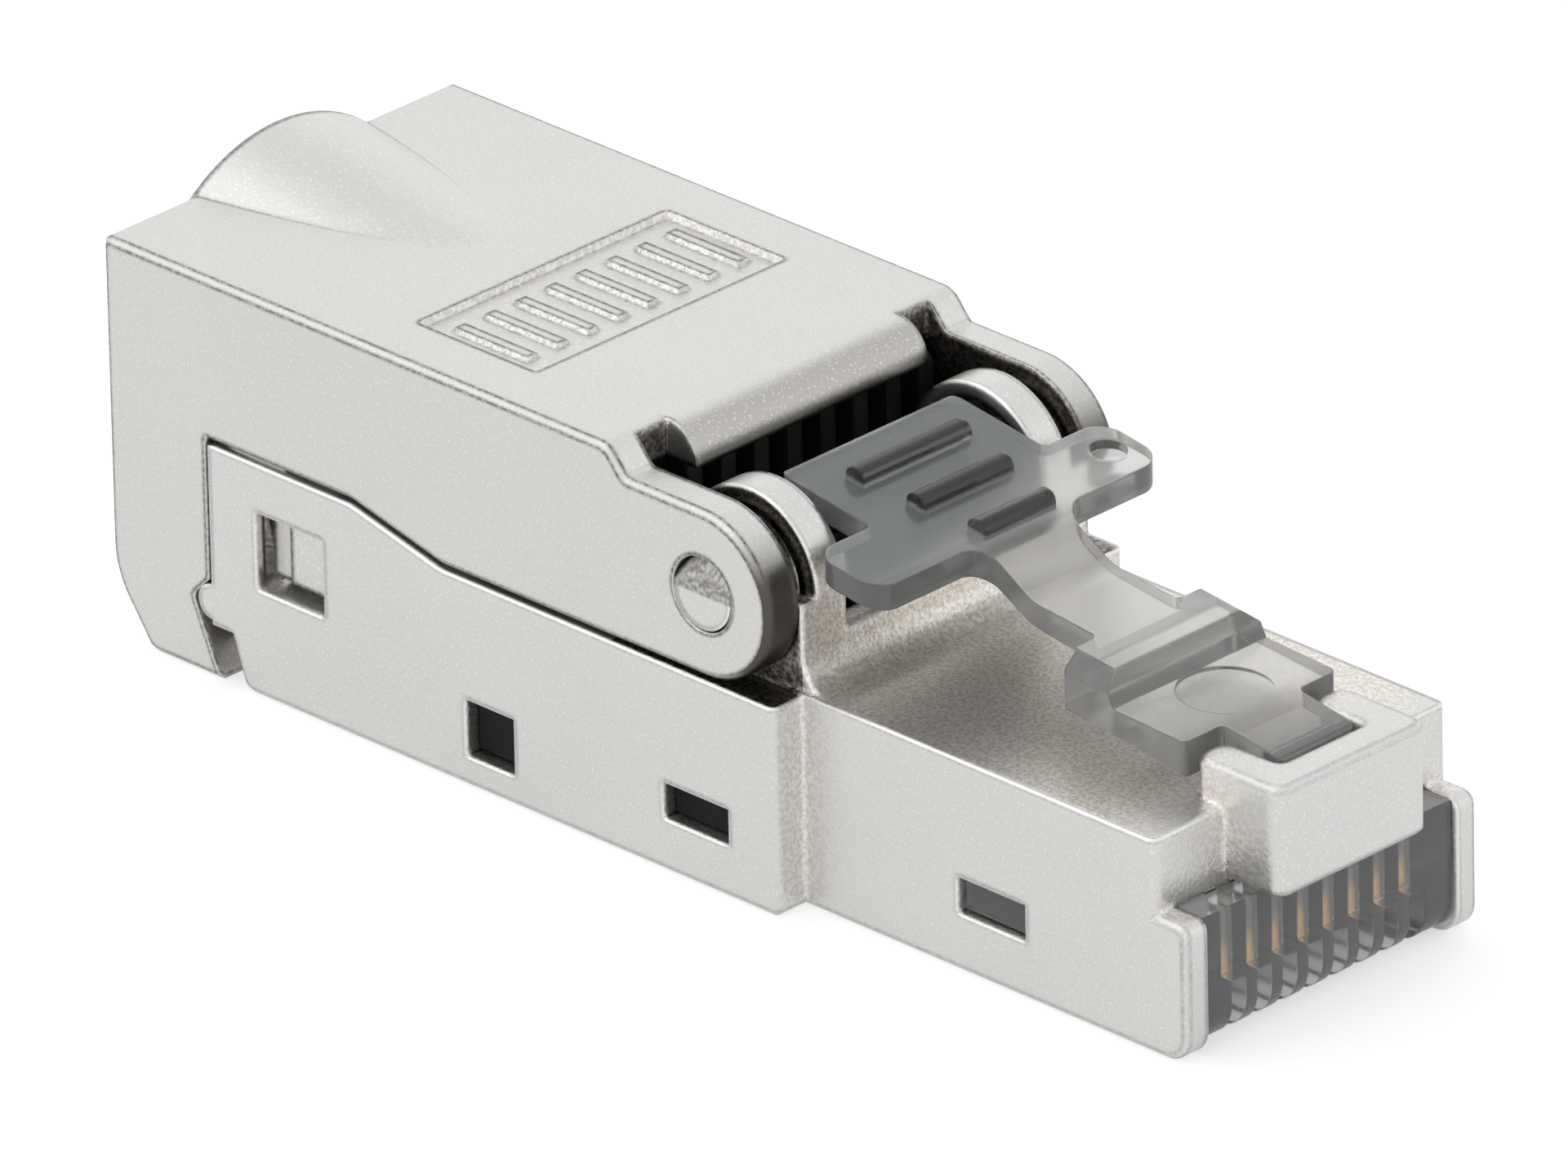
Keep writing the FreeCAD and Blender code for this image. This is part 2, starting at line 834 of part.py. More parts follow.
        pocket(body, f"nose_window_{hand}", "XZ_Plane", [nose_window], low, high)
    return body


# Hinged cover: one die casting with two cheeks that end in round arms, a flat roof
# with a bullnose lip, and a rear wall with a slot over the cable.

def make_hinged_cover():
    body = new_body("hinged_cover")
    far = size.beyond
    past = size.cut_past
    half = body_half()
    inner = cover_inner_half()
    rear = -1 * size.cover_rear_back
    edge = -1 * size.side_rear_back - size.seam
    top = cover_height()
    arm_top = pin_height() + arm_radius()
    detent_clear = size.detent_radius + size.seam
    seam_low = side_height() + size.seam
    seam_high = shelf_height() + size.seam
    side_outline = [
        (rear, top, size.cover_rear_corner),
        (rear, size.cover_heel_height, size.cover_heel_radius),
        (-1 * size.cover_foot_back, 0, size.foot_radius),
        (size.seam * 2 - size.side_rear_back, 0),
        (edge - detent_clear, size.detent_height),
        (edge, size.detent_height + detent_clear),
        (edge, seam_high),
        (-1 * size.slope_rear_back, seam_high, size.slope_radius),
        (-1 * size.slope_front_back, seam_low, size.slope_radius),
        (pin_x(), seam_low),
        (pin_x(), arm_top),
        (size.cover_corner_radius - size.cover_front_back, arm_top, size.cover_notch_radius),
        (-1 * size.cover_front_back, top, size.cover_corner_radius),
    ]
    pad(body, "cover_block", "XZ_Plane", [side_outline], -1 * half, half)
    arm_end = Disc(pin_x(), pin_height(), arm_radius())
    pad(body, "arm_ends", "XZ_Plane", [arm_end], -1 * half, half)
    rims = [((None, y, top), (None, y, top)) for y in (half, -half)]
    bevel_edges(body, "cheek_bevels", size.casting_bevel, rims)

    # The bulge is a sheared round form: its crown starts over the cable entry at the rear
    # and runs down into the flat roof.
    crown = size.cable_radius + size.bulge_wall
    front_height = top - crown
    bulge_rear = plane_sketch(body, "bulge_rear", "YZ_Plane", rear,
                              [Disc(0, cable_height(), crown)])
    bulge_front = plane_sketch(body, "bulge_front", "YZ_Plane", -1 * size.bulge_end_back,
                               [Disc(0, front_height, crown)])
    bulge = body.newObject("PartDesign::AdditiveLoft", "bulge")
    bulge.Profile = bulge_rear
    bulge.Sections = [bulge_front]
    bulge.Ruled = True
    body.Tip = bulge

    interior = box_outline(rear + size.cover_rear_wall, far, -1 * far, cover_roof_inside())
    pocket(body, "interior", "XZ_Plane", [interior], -1 * inner, inner)
    front_gap = box_outline(-1 * size.cover_front_back, far, -1 * far, far)
    pocket(body, "front_gap", "XZ_Plane", [front_gap], -1 * inner, inner)
    bore = Disc(0, cable_height(), size.cable_radius)
    pocket(body, "cable_bore", "YZ_Plane", [bore], rear - past, cradle_front() + past)
    channel_rear = plane_sketch(body, "channel_rear", "YZ_Plane", cradle_front(), [bore])
    channel_front = plane_sketch(body, "channel_front", "YZ_Plane",
                                 -1 * size.bulge_end_back,
                                 [Disc(0, front_height, size.cable_radius)])
    channel = body.newObject("PartDesign::SubtractiveLoft", "channel")
    channel.Profile = channel_rear
    channel.Sections = [channel_front]
    channel.Ruled = True
    body.Tip = channel
    slot_half = size.cable_radius
    rear_slot = box_outline(-1 * slot_half, slot_half, -1 * far, cable_height())
    pocket(body, "rear_slot", "YZ_Plane", [rear_slot], rear - past,
           rear + size.cover_rear_wall + past)

    lip_half = strap_outer() - size.lip_inset
    lip_front = size.lip_reach - size.cover_front_back
    lip = [
        (-1 * size.cover_front_back - size.overlap, cover_roof_inside()),
        (lip_front, cover_roof_inside()),
        (lip_front, top, size.lip_reach - size.strap_step),
        (-1 * size.cover_front_back - size.overlap, top),
    ]
    pad(body, "lip", "XZ_Plane", [lip], -1 * lip_half, lip_half)

    label_half = half - size.label_margin
    label_rear = -1 * size.label_back - size.label_length
    label_floor = top - size.label_depth
    label = box_outline(label_rear, -1 * size.label_back, -1 * label_half, label_half)
    pocket(body, "label_recess", "XY_Plane", [label], label_floor, top + past)
    bars = []
    bar_start = label_rear + (size.label_length - size.bar_length) / 2
    bar_pitch = (label_half - size.bar_margin) * 2 / 7
    for index in range(8):
        middle = (index - 3.5) * bar_pitch
        bars.append(box_outline(bar_start, bar_start + size.bar_length,
                                middle - size.bar_width / 2, middle + size.bar_width / 2))
    pad(body, "label_bars", "XY_Plane", bars, label_floor - past,
        label_floor + size.bar_rise)

    # A tab inside each cheek carries the stepped lug that shows in the snap window.
    tab_outer = cavity_half() - size.part_gap
    tab_inner = tab_outer - size.tab_thickness
    tab_base = seam_high - size.tab_depth
    lug_top = size.snap_window_base + size.snap_window_height - size.seam
    tab_front = -1 * size.snap_window_back - size.seam
    tab_rear = size.tab_room - size.snap_window_back - size.snap_window_length
    step_x = (tab_front + tab_rear * 2) / 3
    for side, hand in ((1, "left"), (-1, "right")):
        low, high = side_span(side, inner - past, half + past)
        hole = Disc(pin_x(), pin_height(), size.pin_radius + size.pin_clearance)
        pocket(body, f"pin_hole_{hand}", "XZ_Plane", [hole], low, high)
        spans = (("tab", tab_rear, tab_front, size.tab_lug_reach - size.tab_lug_step),
                 ("tab_face", step_x, tab_front, size.tab_lug_reach))
        for name, start, end, reach in spans:
            tab = [
                (tab_inner, tab_base),
                (tab_outer, tab_base),
                (cavity_half() + reach, tab_base + size.tab_lead),
                (cavity_half() + reach, lug_top),
                (tab_outer, lug_top),
                (tab_outer, seam_high),
                (inner + past, seam_high),
                (inner + past, seam_high + size.overlap * 3),
                (tab_inner, seam_high + size.overlap * 3),
            ]
            pad(body, f"{name}_{hand}", "YZ_Plane", [sided(side, tab)], start, end)
    return body


# Release latch: one clear smoke moulding, drawn as a side profile trimmed to its plan.

def make_release_latch():
    body = new_body("release_latch")
    far = size.beyond
    past = size.cut_past
    thickness = size.latch_thickness
    base = size.nose_height
    tail = -1 * size.latch_tail_back
    tail_top = base + size.latch_tail_rise
    wing_top = base + size.wing_rise
    bend_top = base + size.bend_rise
    hook_top = base + size.hook_rise
    table_top = base + size.table_rise
    tongue_base = tongue_top() - size.tongue_thickness
    corner = size.latch_corner
    profile = [
        (tail, tail_top, size.latch_tail_radius),
        (tail, tail_top - thickness, size.latch_tail_radius),
        (size.wing_end - corner, wing_top - thickness, size.bend_radius),
        (size.bend_at - corner / 2, bend_top - thickness, size.bend_radius),
        (size.hook_start, hook_top - thickness),
        (size.hook_start, hook_top - size.hook_thickness, corner),
        (size.table_start, table_top - size.table_thickness),
        (size.table_end, tongue_base, corner),
        (size.tongue_end, tongue_base, corner),
        (size.tongue_end, tongue_top(), corner),
        (size.table_end, table_top - size.table_fall, corner),
        (size.table_start, table_top),
        (size.hook_end, hook_top, corner),
        (size.bend_at, bend_top, size.bend_radius),
        (size.wing_end, wing_top, size.bend_radius),
    ]
    wing_half = nose_half() - size.wing_inset
    pad(body, "latch_profile", "XZ_Plane", [profile], -1 * wing_half, wing_half)
    pad_half = strap_inner() - size.latch_pad_room
    arm_half = size.arm_width / 2
    hook_half = size.hook_width / 2
    tongue_half = size.tongue_width / 2
    right_edge = [
        (tail, -1 * pad_half, size.latch_pad_corner),
        (size.wing_start, -1 * pad_half, corner),
        (size.wing_start, -1 * wing_half, size.wing_corner),
        (size.wing_end, -1 * wing_half, size.wing_corner),
        (size.wing_end, -1 * arm_half, size.wing_corner),
        (size.hook_start, -1 * arm_half, corner),
        (size.hook_start, -1 * hook_half, corner),
        (size.table_end, -1 * hook_half, corner),
        (size.table_end, -1 * tongue_half, corner),
        (size.tongue_end, -1 * tongue_half, corner),
    ]
    left_edge = [(c[0], -1 * c[1], c[2]) for c in reversed(right_edge)]
    around = box_outline(-1 * far, far, -1 * far, far)
    pocket(body, "latch_plan", "XY_Plane", [around, right_edge + left_edge], 0, far)

    bead = Disc(size.latch_pivot, tongue_base, size.latch_bead)
    pad(body, "root_bead", "XZ_Plane", [bead], -1 * tongue_half, tongue_half)

    # Corners of the hooks fall away outwards, and three grip ribs cross the pad.
    for side, hand in ((1, "left"), (-1, "right")):
        chamfer = [
            (hook_half - size.hook_chamfer, hook_top),
            (hook_half + past, hook_top - size.hook_chamfer),
            (hook_half + past, hook_top + size.overlap),
            (hook_half - size.hook_chamfer, hook_top + size.overlap),
        ]
        pocket(body, f"hook_corner_{hand}", "YZ_Plane", [sided(side, chamfer)],
               size.hook_start - past, size.table_start + corner)
    slope = (tail_top - wing_top) / (size.wing_end - tail)
    for index in range(3):
        middle = size.wing_end - size.rib_setback - (2 - index) * size.rib_spacing
        surface = wing_top + slope * (size.wing_end - middle)
        rib_half = size.rib_width / 2
        rib = [
            (middle - rib_half, surface - thickness / 2),
            (middle + rib_half, surface - thickness / 2),
            (middle + rib_half, surface + size.rib_rise, size.rib_round),
            (middle - rib_half, surface + size.rib_rise, size.rib_round),
        ]
        length = size.rib_length - index * size.rib_shortening
        pad(body, f"grip_rib_{index + 1}", "XZ_Plane", [rib], -1 * length / 2, length / 2)

    # Round ejector marks on the left wing and on the table.
    wing_mark = Disc((size.wing_start + size.wing_end) / 2, wing_half - size.mould_mark_inset,
                     size.mould_mark_radius)
    pocket(body, "wing_mark", "XY_Plane", [wing_mark],
           wing_top - size.mould_mark_depth + slope * size.mould_mark_radius, far)
    table_mark = Disc((size.table_start + size.table_end) / 2, 0, size.table_mark_radius)
    pocket(body, "table_mark", "XY_Plane", [table_mark],
           table_top - size.table_fall / 2 - size.table_mark_depth, table_top)
    return body


def contact_y(index):
    """Middle of a contact across the plug; the first is on the right."""
    return (index - (size.contact_count - 1) / 2) * size.contact_pitch


def board_top():
    return size.board_base + size.board_thickness


def contact_brow():
    """Height of the blade's front corner, under the bridge of the nose."""
    return size.ear_height - size.contact_room * 2


def contact_step():
    """Where the blade steps up to its tail, behind the bridge of the nose."""
    return bridge_inside() - size.contact_room * 2


# Contact carrier: the smoke comb at the nose's tip, with a slot for each contact.

def make_contact_carrier():
    body = new_body("contact_carrier")
    half = nose_cavity_half() - size.comb_gap
    gap = size.comb_gap
    roof = nose_roof_inside() - gap
    past = size.cut_past
    outline = [
        (size.comb_start, size.floor_thickness),
        (size.comb_opening_start + gap, size.floor_thickness),
        (size.comb_opening_start + gap, gap),
        (size.comb_front, gap, size.comb_corner),
        (size.comb_front, size.ear_height - gap),
        (bridge_inside() - gap, size.ear_height - gap),
        (bridge_inside() - gap, roof),
        (size.board_end + size.comb_shoulder, roof),
        (size.board_end + size.comb_shoulder, board_top() + past),
        (size.board_end + gap, board_top() + past),
        (size.board_end + gap, size.board_base),
        (size.comb_start, size.board_base),
    ]
    pad(body, "comb_block", "XZ_Plane", [outline], -1 * half, half)
    low_cut = size.comb_slot_height - past
    for index in range(int(float(size.contact_count))):
        middle = contact_y(index)
        slot = box_outline(size.contact_heel - size.comb_shoulder, size.beyond, -1 * past,
                           size.comb_slot_height)
        pocket(body, f"comb_slot_{index + 1}", "XZ_Plane", [slot],
               middle - size.contact_slot / 2, middle + size.contact_slot / 2)
        slit = [
            (size.board_end, low_cut),
            (size.contact_front + size.contact_room, low_cut),
            (size.contact_front + size.contact_room, contact_brow() + size.contact_room),
            (contact_step() + size.contact_room, contact_brow() + size.contact_room),
            (contact_step() + size.contact_room,
             board_top() + size.contact_foil + size.contact_room),
            (size.board_end, board_top() + size.contact_foil + size.contact_room),
        ]
        pocket(body, f"comb_slit_{index + 1}", "XZ_Plane", [slit],
               middle - size.contact_slit / 2, middle + size.contact_slit / 2)
    for side, hand in ((1, "left"), (-1, "right")):
        low, high = side_span(side, half - past, nose_half() - size.carrier_lug_inset)
        lug = box_outline(size.nose_window_start + gap,
                          size.nose_window_start + size.nose_window_length - gap,
                          size.nose_window_base + gap,
                          size.nose_window_base + size.nose_window_height - gap)
        pad(body, f"carrier_lug_{hand}", "XZ_Plane", [lug], low, high)
    return body


# Plug contacts: eight stamped blades, each with a foil-thin tail soldered to the board.

def make_plug_contact(index):
    body = new_body(f"plug_contact_{index + 1}")
    tail = size.contact_tail - (index % 2) * size.contact_stagger
    base = board_top()
    outline = [
        (tail, base),
        (size.contact_heel, base),
        (size.contact_heel, size.contact_crown),
        (size.contact_front, size.contact_crown, size.contact_nose_radius),
        (size.contact_front, contact_brow()),
        (contact_step(), contact_brow()),
        (contact_step(), base + size.contact_foil),
        (tail, base + size.contact_foil),
    ]
    middle = contact_y(index)
    pad(body, "blade", "XZ_Plane", [outline], middle - size.contact_thickness / 2,
        middle + size.contact_thickness / 2)
    return body


# Circuit board: it joins the plug contacts to the insulation-displacement forks.

def make_circuit_board():
    body = new_body("circuit_board")
    wide = board_half()
    narrow = nose_cavity_half() - size.part_gap
    step = wall_back() - size.part_gap
    rear = -1 * size.board_rear_back
    outline = [
        (rear, -1 * wide), (step, -1 * wide), (step, -1 * narrow),
        (size.board_end, -1 * narrow), (size.board_end, narrow), (step, narrow),
        (step, wide), (rear, wide),
    ]
    pad(body, "board", "XY_Plane", [outline], size.board_base, board_top())
    thin = size.fork_thickness / 2 + size.comb_gap
    wide = size.fork_pin_width / 2 + size.comb_gap
    pocket(body, "fork_holes", "XY_Plane", fork_boxes(thin, wide),
           size.board_base - size.cut_past, board_top() + size.cut_past)
    return body


# Board tray: a black frame under the board, held by lugs in the housing's windows.

def make_board_tray():
    body = new_body("board_tray")
    half = cavity_half() - size.comb_gap
    rear = -1 * size.tray_rear_back
    front = wall_back() - size.comb_gap
    floor = size.floor_thickness
    tray = box_outline(rear, front, floor, size.board_base)
    pad(body, "tray_block", "XZ_Plane", [tray], -1 * half, half)
    hollow = box_outline(rear + size.tray_rail, front - size.tray_rail,
                         floor + size.tray_floor, size.board_base + size.cut_past)
    pocket(body, "tray_hollow", "XZ_Plane", [hollow], size.tray_rail - half,
           half - size.tray_rail)
    gap = size.comb_gap
    for side, hand in ((1, "left"), (-1, "right")):
        low, high = side_span(side, half - size.cut_past, half + size.tray_lug_reach)
        lugs = [
            box_outline(-1 * size.window_one_back - size.window_one_length + gap,
                        -1 * size.window_one_back - gap, floor + gap,
                        size.window_one_base + size.window_one_height - gap),
            box_outline(-1 * size.window_two_back - size.window_two_length + gap,
                        -1 * size.window_two_back - gap, size.window_two_base + gap,
                        size.window_two_base + size.window_two_height - gap),
        ]
        pad(body, f"tray_lugs_{hand}", "XZ_Plane", lugs, low, high)
    return body


def fork_column():
    """Distance between neighbouring forks of one row."""
    return (board_half() - size.fork_margin) * 2 / 3


def fork_x(index):
    """Forks stand in two rows of four across the plug."""
    return -1 * size.fork_row_back - (index // 4) * size.fork_row_spacing


def fork_y(index):
    """The rows are shifted by half a column, so that no wire runs over another's fork."""
    return (index % 4 - 1.5 + (index // 4 - 0.5) / 2) * fork_column()


def fork_half():
    return fork_column() * size.fork_share / 2


def fork_boxes(thin, wide):
    """A box around each fork, for the cuts that it stands in."""
    return [box_outline(fork_x(index) - thin, fork_x(index) + thin,
                        fork_y(index) - wide, fork_y(index) + wide)
            for index in range(int(float(size.fork_count)))]


# Fork block: the black moulding on the board that holds the forks upright.

def make_fork_block():
    body = new_body("fork_block")
    half = board_half()
    past = size.cut_past
    top = board_top() + size.block_height
    rear = -1 * size.block_rear_back
    front = -1 * size.block_front_back
    block = [
        (rear, board_top()), (front, board_top()),
        (front, top, size.block_round), (rear, top, size.block_round),
    ]
    pad(body, "block", "XZ_Plane", [block], -1 * half, half)
    slots = fork_boxes(size.fork_thickness / 2 + size.comb_gap, fork_half() + size.comb_gap)
    pocket(body, "fork_slots", "XY_Plane", slots, board_top() - past, top + past)
    trench = box_outline(fork_x(4) + size.trench_depth, fork_x(0) - size.trench_depth,
                         top - size.trench_depth, top + past)
    pocket(body, "trench", "XZ_Plane", [trench], -1 * half - past, half + past)
    return body


# Insulation-displacement forks: eight stamped plates that the wires are pressed into.

def make_fork(index):
    body = new_body(f"idc_fork_{index + 1}")
    middle = fork_y(index)
    half = fork_half()
    slot = size.fork_slot / 2
    pin = size.fork_pin_width / 2
    tip = size.fork_tip
    top = size.fork_top
    root = top - size.fork_slot_depth
    outline = [
        (middle - pin, size.board_base), (middle + pin, size.board_base),
        (middle + pin, board_top()), (middle + half, board_top()),
        (middle + half, top - tip), (middle + half - tip, top),
        (middle + slot, top - tip), (middle + slot, root),
        (middle - slot, root), (middle - slot, top - tip),
        (middle - half + tip, top), (middle - half, top - tip),
        (middle - half, board_top()), (middle - pin, board_top()),
    ]
    thin = size.fork_thickness / 2
    pad(body, "fork", "YZ_Plane", [outline], fork_x(index) - thin, fork_x(index) + thin)
    return body


# Wire manager: the black block that holds the eight wires over the forks.

def make_wire_manager():
    body = new_body("wire_manager")
    past = size.cut_past
    half = cover_inner_half() - size.manager_side_gap
    top = cover_roof_inside() - size.manager_gap
    base = board_top() + size.block_height
    rear = -1 * size.manager_rear_back
    front = -1 * size.manager_front_back
    outline = [
        (rear, base), (front, base), (front, top, size.manager_round),
        (rear, top, size.manager_round),
    ]
    pad(body, "manager_block", "XZ_Plane", [outline], -1 * half, half)
    fork_rooms = fork_boxes(size.fork_thickness / 2 + size.fork_room,
                            fork_half() + size.fork_room)
    pocket(body, "fork_rooms", "XY_Plane", fork_rooms, base - past,
           size.fork_top + size.fork_room)
    wire = size.wire_room / 2
    count = int(float(size.fork_count))
    wires = [box_outline(fork_y(index) - wire, fork_y(index) + wire,
                         size.wire_height - wire, size.wire_height + wire)
             for index in range(count)]
    pocket(body, "wire_ways", "YZ_Plane", wires, rear - past, front - size.wire_stop)
    groove_pitch = (half - size.manager_end_margin) * 2 / (count - 1)
    for index in range(count):
        middle = (index - (count - 1) / 2) * groove_pitch
        groove = box_outline(middle - size.manager_groove / 2,
                             middle + size.manager_groove / 2,
                             base + size.manager_groove_sill, top + past)
        pocket(body, f"front_groove_{index + 1}", "YZ_Plane", [groove],
               front - size.manager_groove_depth, front + past)
    return body


# Shield spring: a bent sheet cradle on the housing's floor that touches the braid.

def make_shield_spring():
    body = new_body("shield_spring")
    top_half = size.cable_radius - size.spring_top_gap
    base_half = top_half - size.spring_splay
    thin = size.spring_thickness
    low = size.floor_thickness
    high = low + size.spring_height
    outline = [
        (-1 * base_half, low, size.spring_bend), (base_half, low, size.spring_bend),
        (top_half, high), (top_half - thin, high),
        (base_half - thin, low + thin, size.spring_bend / 2),
        (thin - base_half, low + thin, size.spring_bend / 2),
        (thin - top_half, high), (-1 * top_half, high),
    ]
    rear = -1 * size.spring_rear_back
    front = -1 * size.spring_front_back
    pad(body, "cradle_sheet", "YZ_Plane", [outline], rear, front)
    third = (front - rear) / 3
    slits = []
    for index in (1, 2):
        middle = rear + third * index
        slits.append(box_outline(middle - size.spring_slit / 2, middle + size.spring_slit / 2,
                                 low + size.spring_root, high + size.cut_past))
    pocket(body, "finger_slits", "XZ_Plane", slits, -1 * body_half(), body_half())
    return body


sub_parts = [make_lower_housing(), make_hinged_cover(), make_release_latch(),
             make_contact_carrier()]
sub_parts += [make_plug_contact(index) for index in range(int(float(size.contact_count)))]
sub_parts += [make_circuit_board(), make_board_tray(), make_fork_block()]
sub_parts += [make_fork(index) for index in range(int(float(size.fork_count)))]
sub_parts += [make_wire_manager(), make_shield_spring()]
doc.recompute()

# Every object has to be sound, and every cut has to remove material, before export.
for item in doc.Objects:
    if "Invalid" in item.State or "Error" in item.State:
        raise RuntimeError(f"{item.Name} is {item.State}")
    if item.TypeId == "PartDesign::Pocket":
        if item.Shape.Volume > item.BaseFeature.Shape.Volume - 1e-6:
            raise RuntimeError(f"{item.Name} cuts nothing")
os.makedirs("parts", exist_ok=True)
for sub_part in sub_parts:
    if sub_part.Shape.isNull() or not sub_part.Shape.isValid():
        raise RuntimeError(f"{sub_part.Label} has no valid shape")
    print(sub_part.Label, len(sub_part.Shape.Solids), round(sub_part.Shape.Volume, 2))
for sub_part in sub_parts:
    sub_part.Shape.exportStep(f"parts/{sub_part.Label}.step")
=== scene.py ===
import math

import bpy
from mathutils import Matrix, Vector

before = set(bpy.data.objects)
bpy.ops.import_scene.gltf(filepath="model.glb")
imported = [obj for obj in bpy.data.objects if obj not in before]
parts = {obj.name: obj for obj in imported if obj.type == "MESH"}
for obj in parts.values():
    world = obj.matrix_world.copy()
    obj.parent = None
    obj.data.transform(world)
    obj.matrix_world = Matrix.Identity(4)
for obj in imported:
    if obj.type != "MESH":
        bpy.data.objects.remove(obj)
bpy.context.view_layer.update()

# The camera: a long lens looks down on the nose and the left side of the plug, as in a
# catalogue picture. The plug stands on its flat underside.

look_at = Vector((-0.00055, 0, 0.005))
camera_distance = 0.8
turned = math.radians(45.261)
raised = math.radians(26.090)
tilted = math.radians(-1.231)
moved_right = -0.000378
moved_up = 0.000925
sensor_width = 36
focal_length = 653.4

forward = Vector((
    -math.sin(turned) * math.cos(raised),
    math.cos(turned) * math.cos(raised),
    -math.sin(raised),
))
level_right = Vector((math.cos(turned), math.sin(turned), 0))
level_up = level_right.cross(forward)
camera_right = level_right * math.cos(tilted) + level_up * math.sin(tilted)
camera_up = level_up * math.cos(tilted) - level_right * math.sin(tilted)

lens = bpy.data.cameras.new("camera")
lens.lens = focal_length
lens.sensor_width = sensor_width
camera = bpy.data.objects.new("camera", lens)
camera.matrix_world = Matrix.Translation(
    look_at - forward * camera_distance + camera_right * moved_right + camera_up * moved_up
) @ Matrix((camera_right, camera_up, -forward)).transposed().to_4x4()
bpy.context.scene.collection.objects.link(camera)
bpy.context.scene.camera = camera
bpy.context.scene.view_settings.view_transform = "Standard"

# The white table and the lamp: a sheet of paper under the plug, in a white tent with one
# broad lamp over it. The paper and the tent are full white to the eye. In the metal the
# tent is brighter than the paper, and its crown a little dimmer than its walls.

tent_on_dull = 0.84
tent_on_metal = 1.01
crown_edge = (0.52, 0.66)
crown_dimness = 0.12
paper_tone = 0.6
paper_roughness = 0.9
paper_glow_to_eye = 0.56
paper_glow_on_metal = 0.36
paper_half = 1.0
lamp_strength = 0.32
lamp_spread = math.radians(60)
lamp_from = Vector((-0.35, -0.45, 1))


def between(tree, mask, low, high):
    """A value that goes from low to high as the mask goes from 0 to 1."""
    blend = tree.nodes.new("ShaderNodeMapRange")
    for end, value in (("To Min", low), ("To Max", high)):
        if isinstance(value, (int, float)):
            blend.inputs[end].default_value = value
        else:
            tree.links.new(value, blend.inputs[end])
    tree.links.new(mask, blend.inputs["Value"])
    return blend.outputs["Result"]


def ramp_of(tree, value, start, end):
    """A mask that goes smoothly from 0 at start to 1 at end."""
    ramp = tree.nodes.new("ShaderNodeMapRange")
    ramp.interpolation_type = "SMOOTHSTEP"
    for limit, at in (("From Min", start), ("From Max", end)):
        if isinstance(at, (int, float)):
            ramp.inputs[limit].default_value = at
        else:
            tree.links.new(at, ramp.inputs[limit])
    tree.links.new(value, ramp.inputs["Value"])
    return ramp.outputs["Result"]


def math_of(tree, operation, *values):
    """A Math node's result; each value is a number or another node's output."""
    step = tree.nodes.new("ShaderNodeMath")
    step.operation = operation
    for place, value in enumerate(values):
        if isinstance(value, (int, float)):
            step.inputs[place].default_value = value
        else:
            tree.links.new(value, step.inputs[place])
    return step.outputs[0]


def seen_by(tree, by_dull, by_metal, by_eye):
    """One strength for stray light, one for mirrors and clear parts, one for the eye."""
    path = tree.nodes.new("ShaderNodeLightPath")
    straight = math_of(
        tree, "MAXIMUM", path.outputs["Is Glossy Ray"], path.outputs["Is Transmission Ray"]
    )
    return between(
        tree, path.outputs["Is Camera Ray"], between(tree, straight, by_dull, by_metal), by_eye
    )


tent = bpy.data.worlds.new("white_tent")
tent.use_nodes = True
tent_light = tent.node_tree.nodes["Background"]
tent_light.inputs["Color"].default_value = (1, 1, 1, 1)
tent_tree = tent.node_tree
seen_height = tent_tree.nodes.new("ShaderNodeSeparateXYZ")
tent_tree.links.new(
    tent_tree.nodes.new("ShaderNodeTexCoord").outputs["Generated"], seen_height.inputs[0]
)
crown = ramp_of(tent_tree, seen_height.outputs["Z"], *crown_edge)
crowned_tent = between(tent_tree, crown, tent_on_metal, tent_on_metal * (1 - crown_dimness))
tent_tree.links.new(
    seen_by(tent_tree, tent_on_dull, crowned_tent, 1), tent_light.inputs["Strength"]
)
bpy.context.scene.world = tent

paper_mesh = bpy.data.meshes.new("paper")
paper_mesh.from_pydata(
    [(x * paper_half, y * paper_half, 0) for x, y in ((-1, -1), (1, -1), (1, 1), (-1, 1))],
    [],
    [(0, 1, 2, 3)],
)
paper = bpy.data.objects.new("paper", paper_mesh)
bpy.context.scene.collection.objects.link(paper)
white_paper = bpy.data.materials.new("white_paper")
white_paper.use_nodes = True
paper_shader = white_paper.node_tree.nodes["Principled BSDF"]
paper_shader.inputs["Base Color"].default_value = (paper_tone, paper_tone, paper_tone, 1)
paper_shader.inputs["Roughness"].default_value = paper_roughness
paper_shader.inputs["Specular IOR Level"].default_value = 0
paper_shader.inputs["Emission Color"].default_value = (1, 1, 1, 1)
white_paper.node_tree.links.new(
    seen_by(white_paper.node_tree, 0, paper_glow_on_metal, paper_glow_to_eye),
    paper_shader.inputs["Emission Strength"],
)
paper_mesh.materials.append(white_paper)

lamp_light = bpy.data.lights.new("broad_lamp", "SUN")
lamp_light.energy = lamp_strength
lamp_light.angle = lamp_spread
lamp = bpy.data.objects.new("broad_lamp", lamp_light)
lamp.rotation_euler = lamp_from.to_track_quat("Z", "Y").to_euler()
bpy.context.scene.collection.objects.link(lamp)
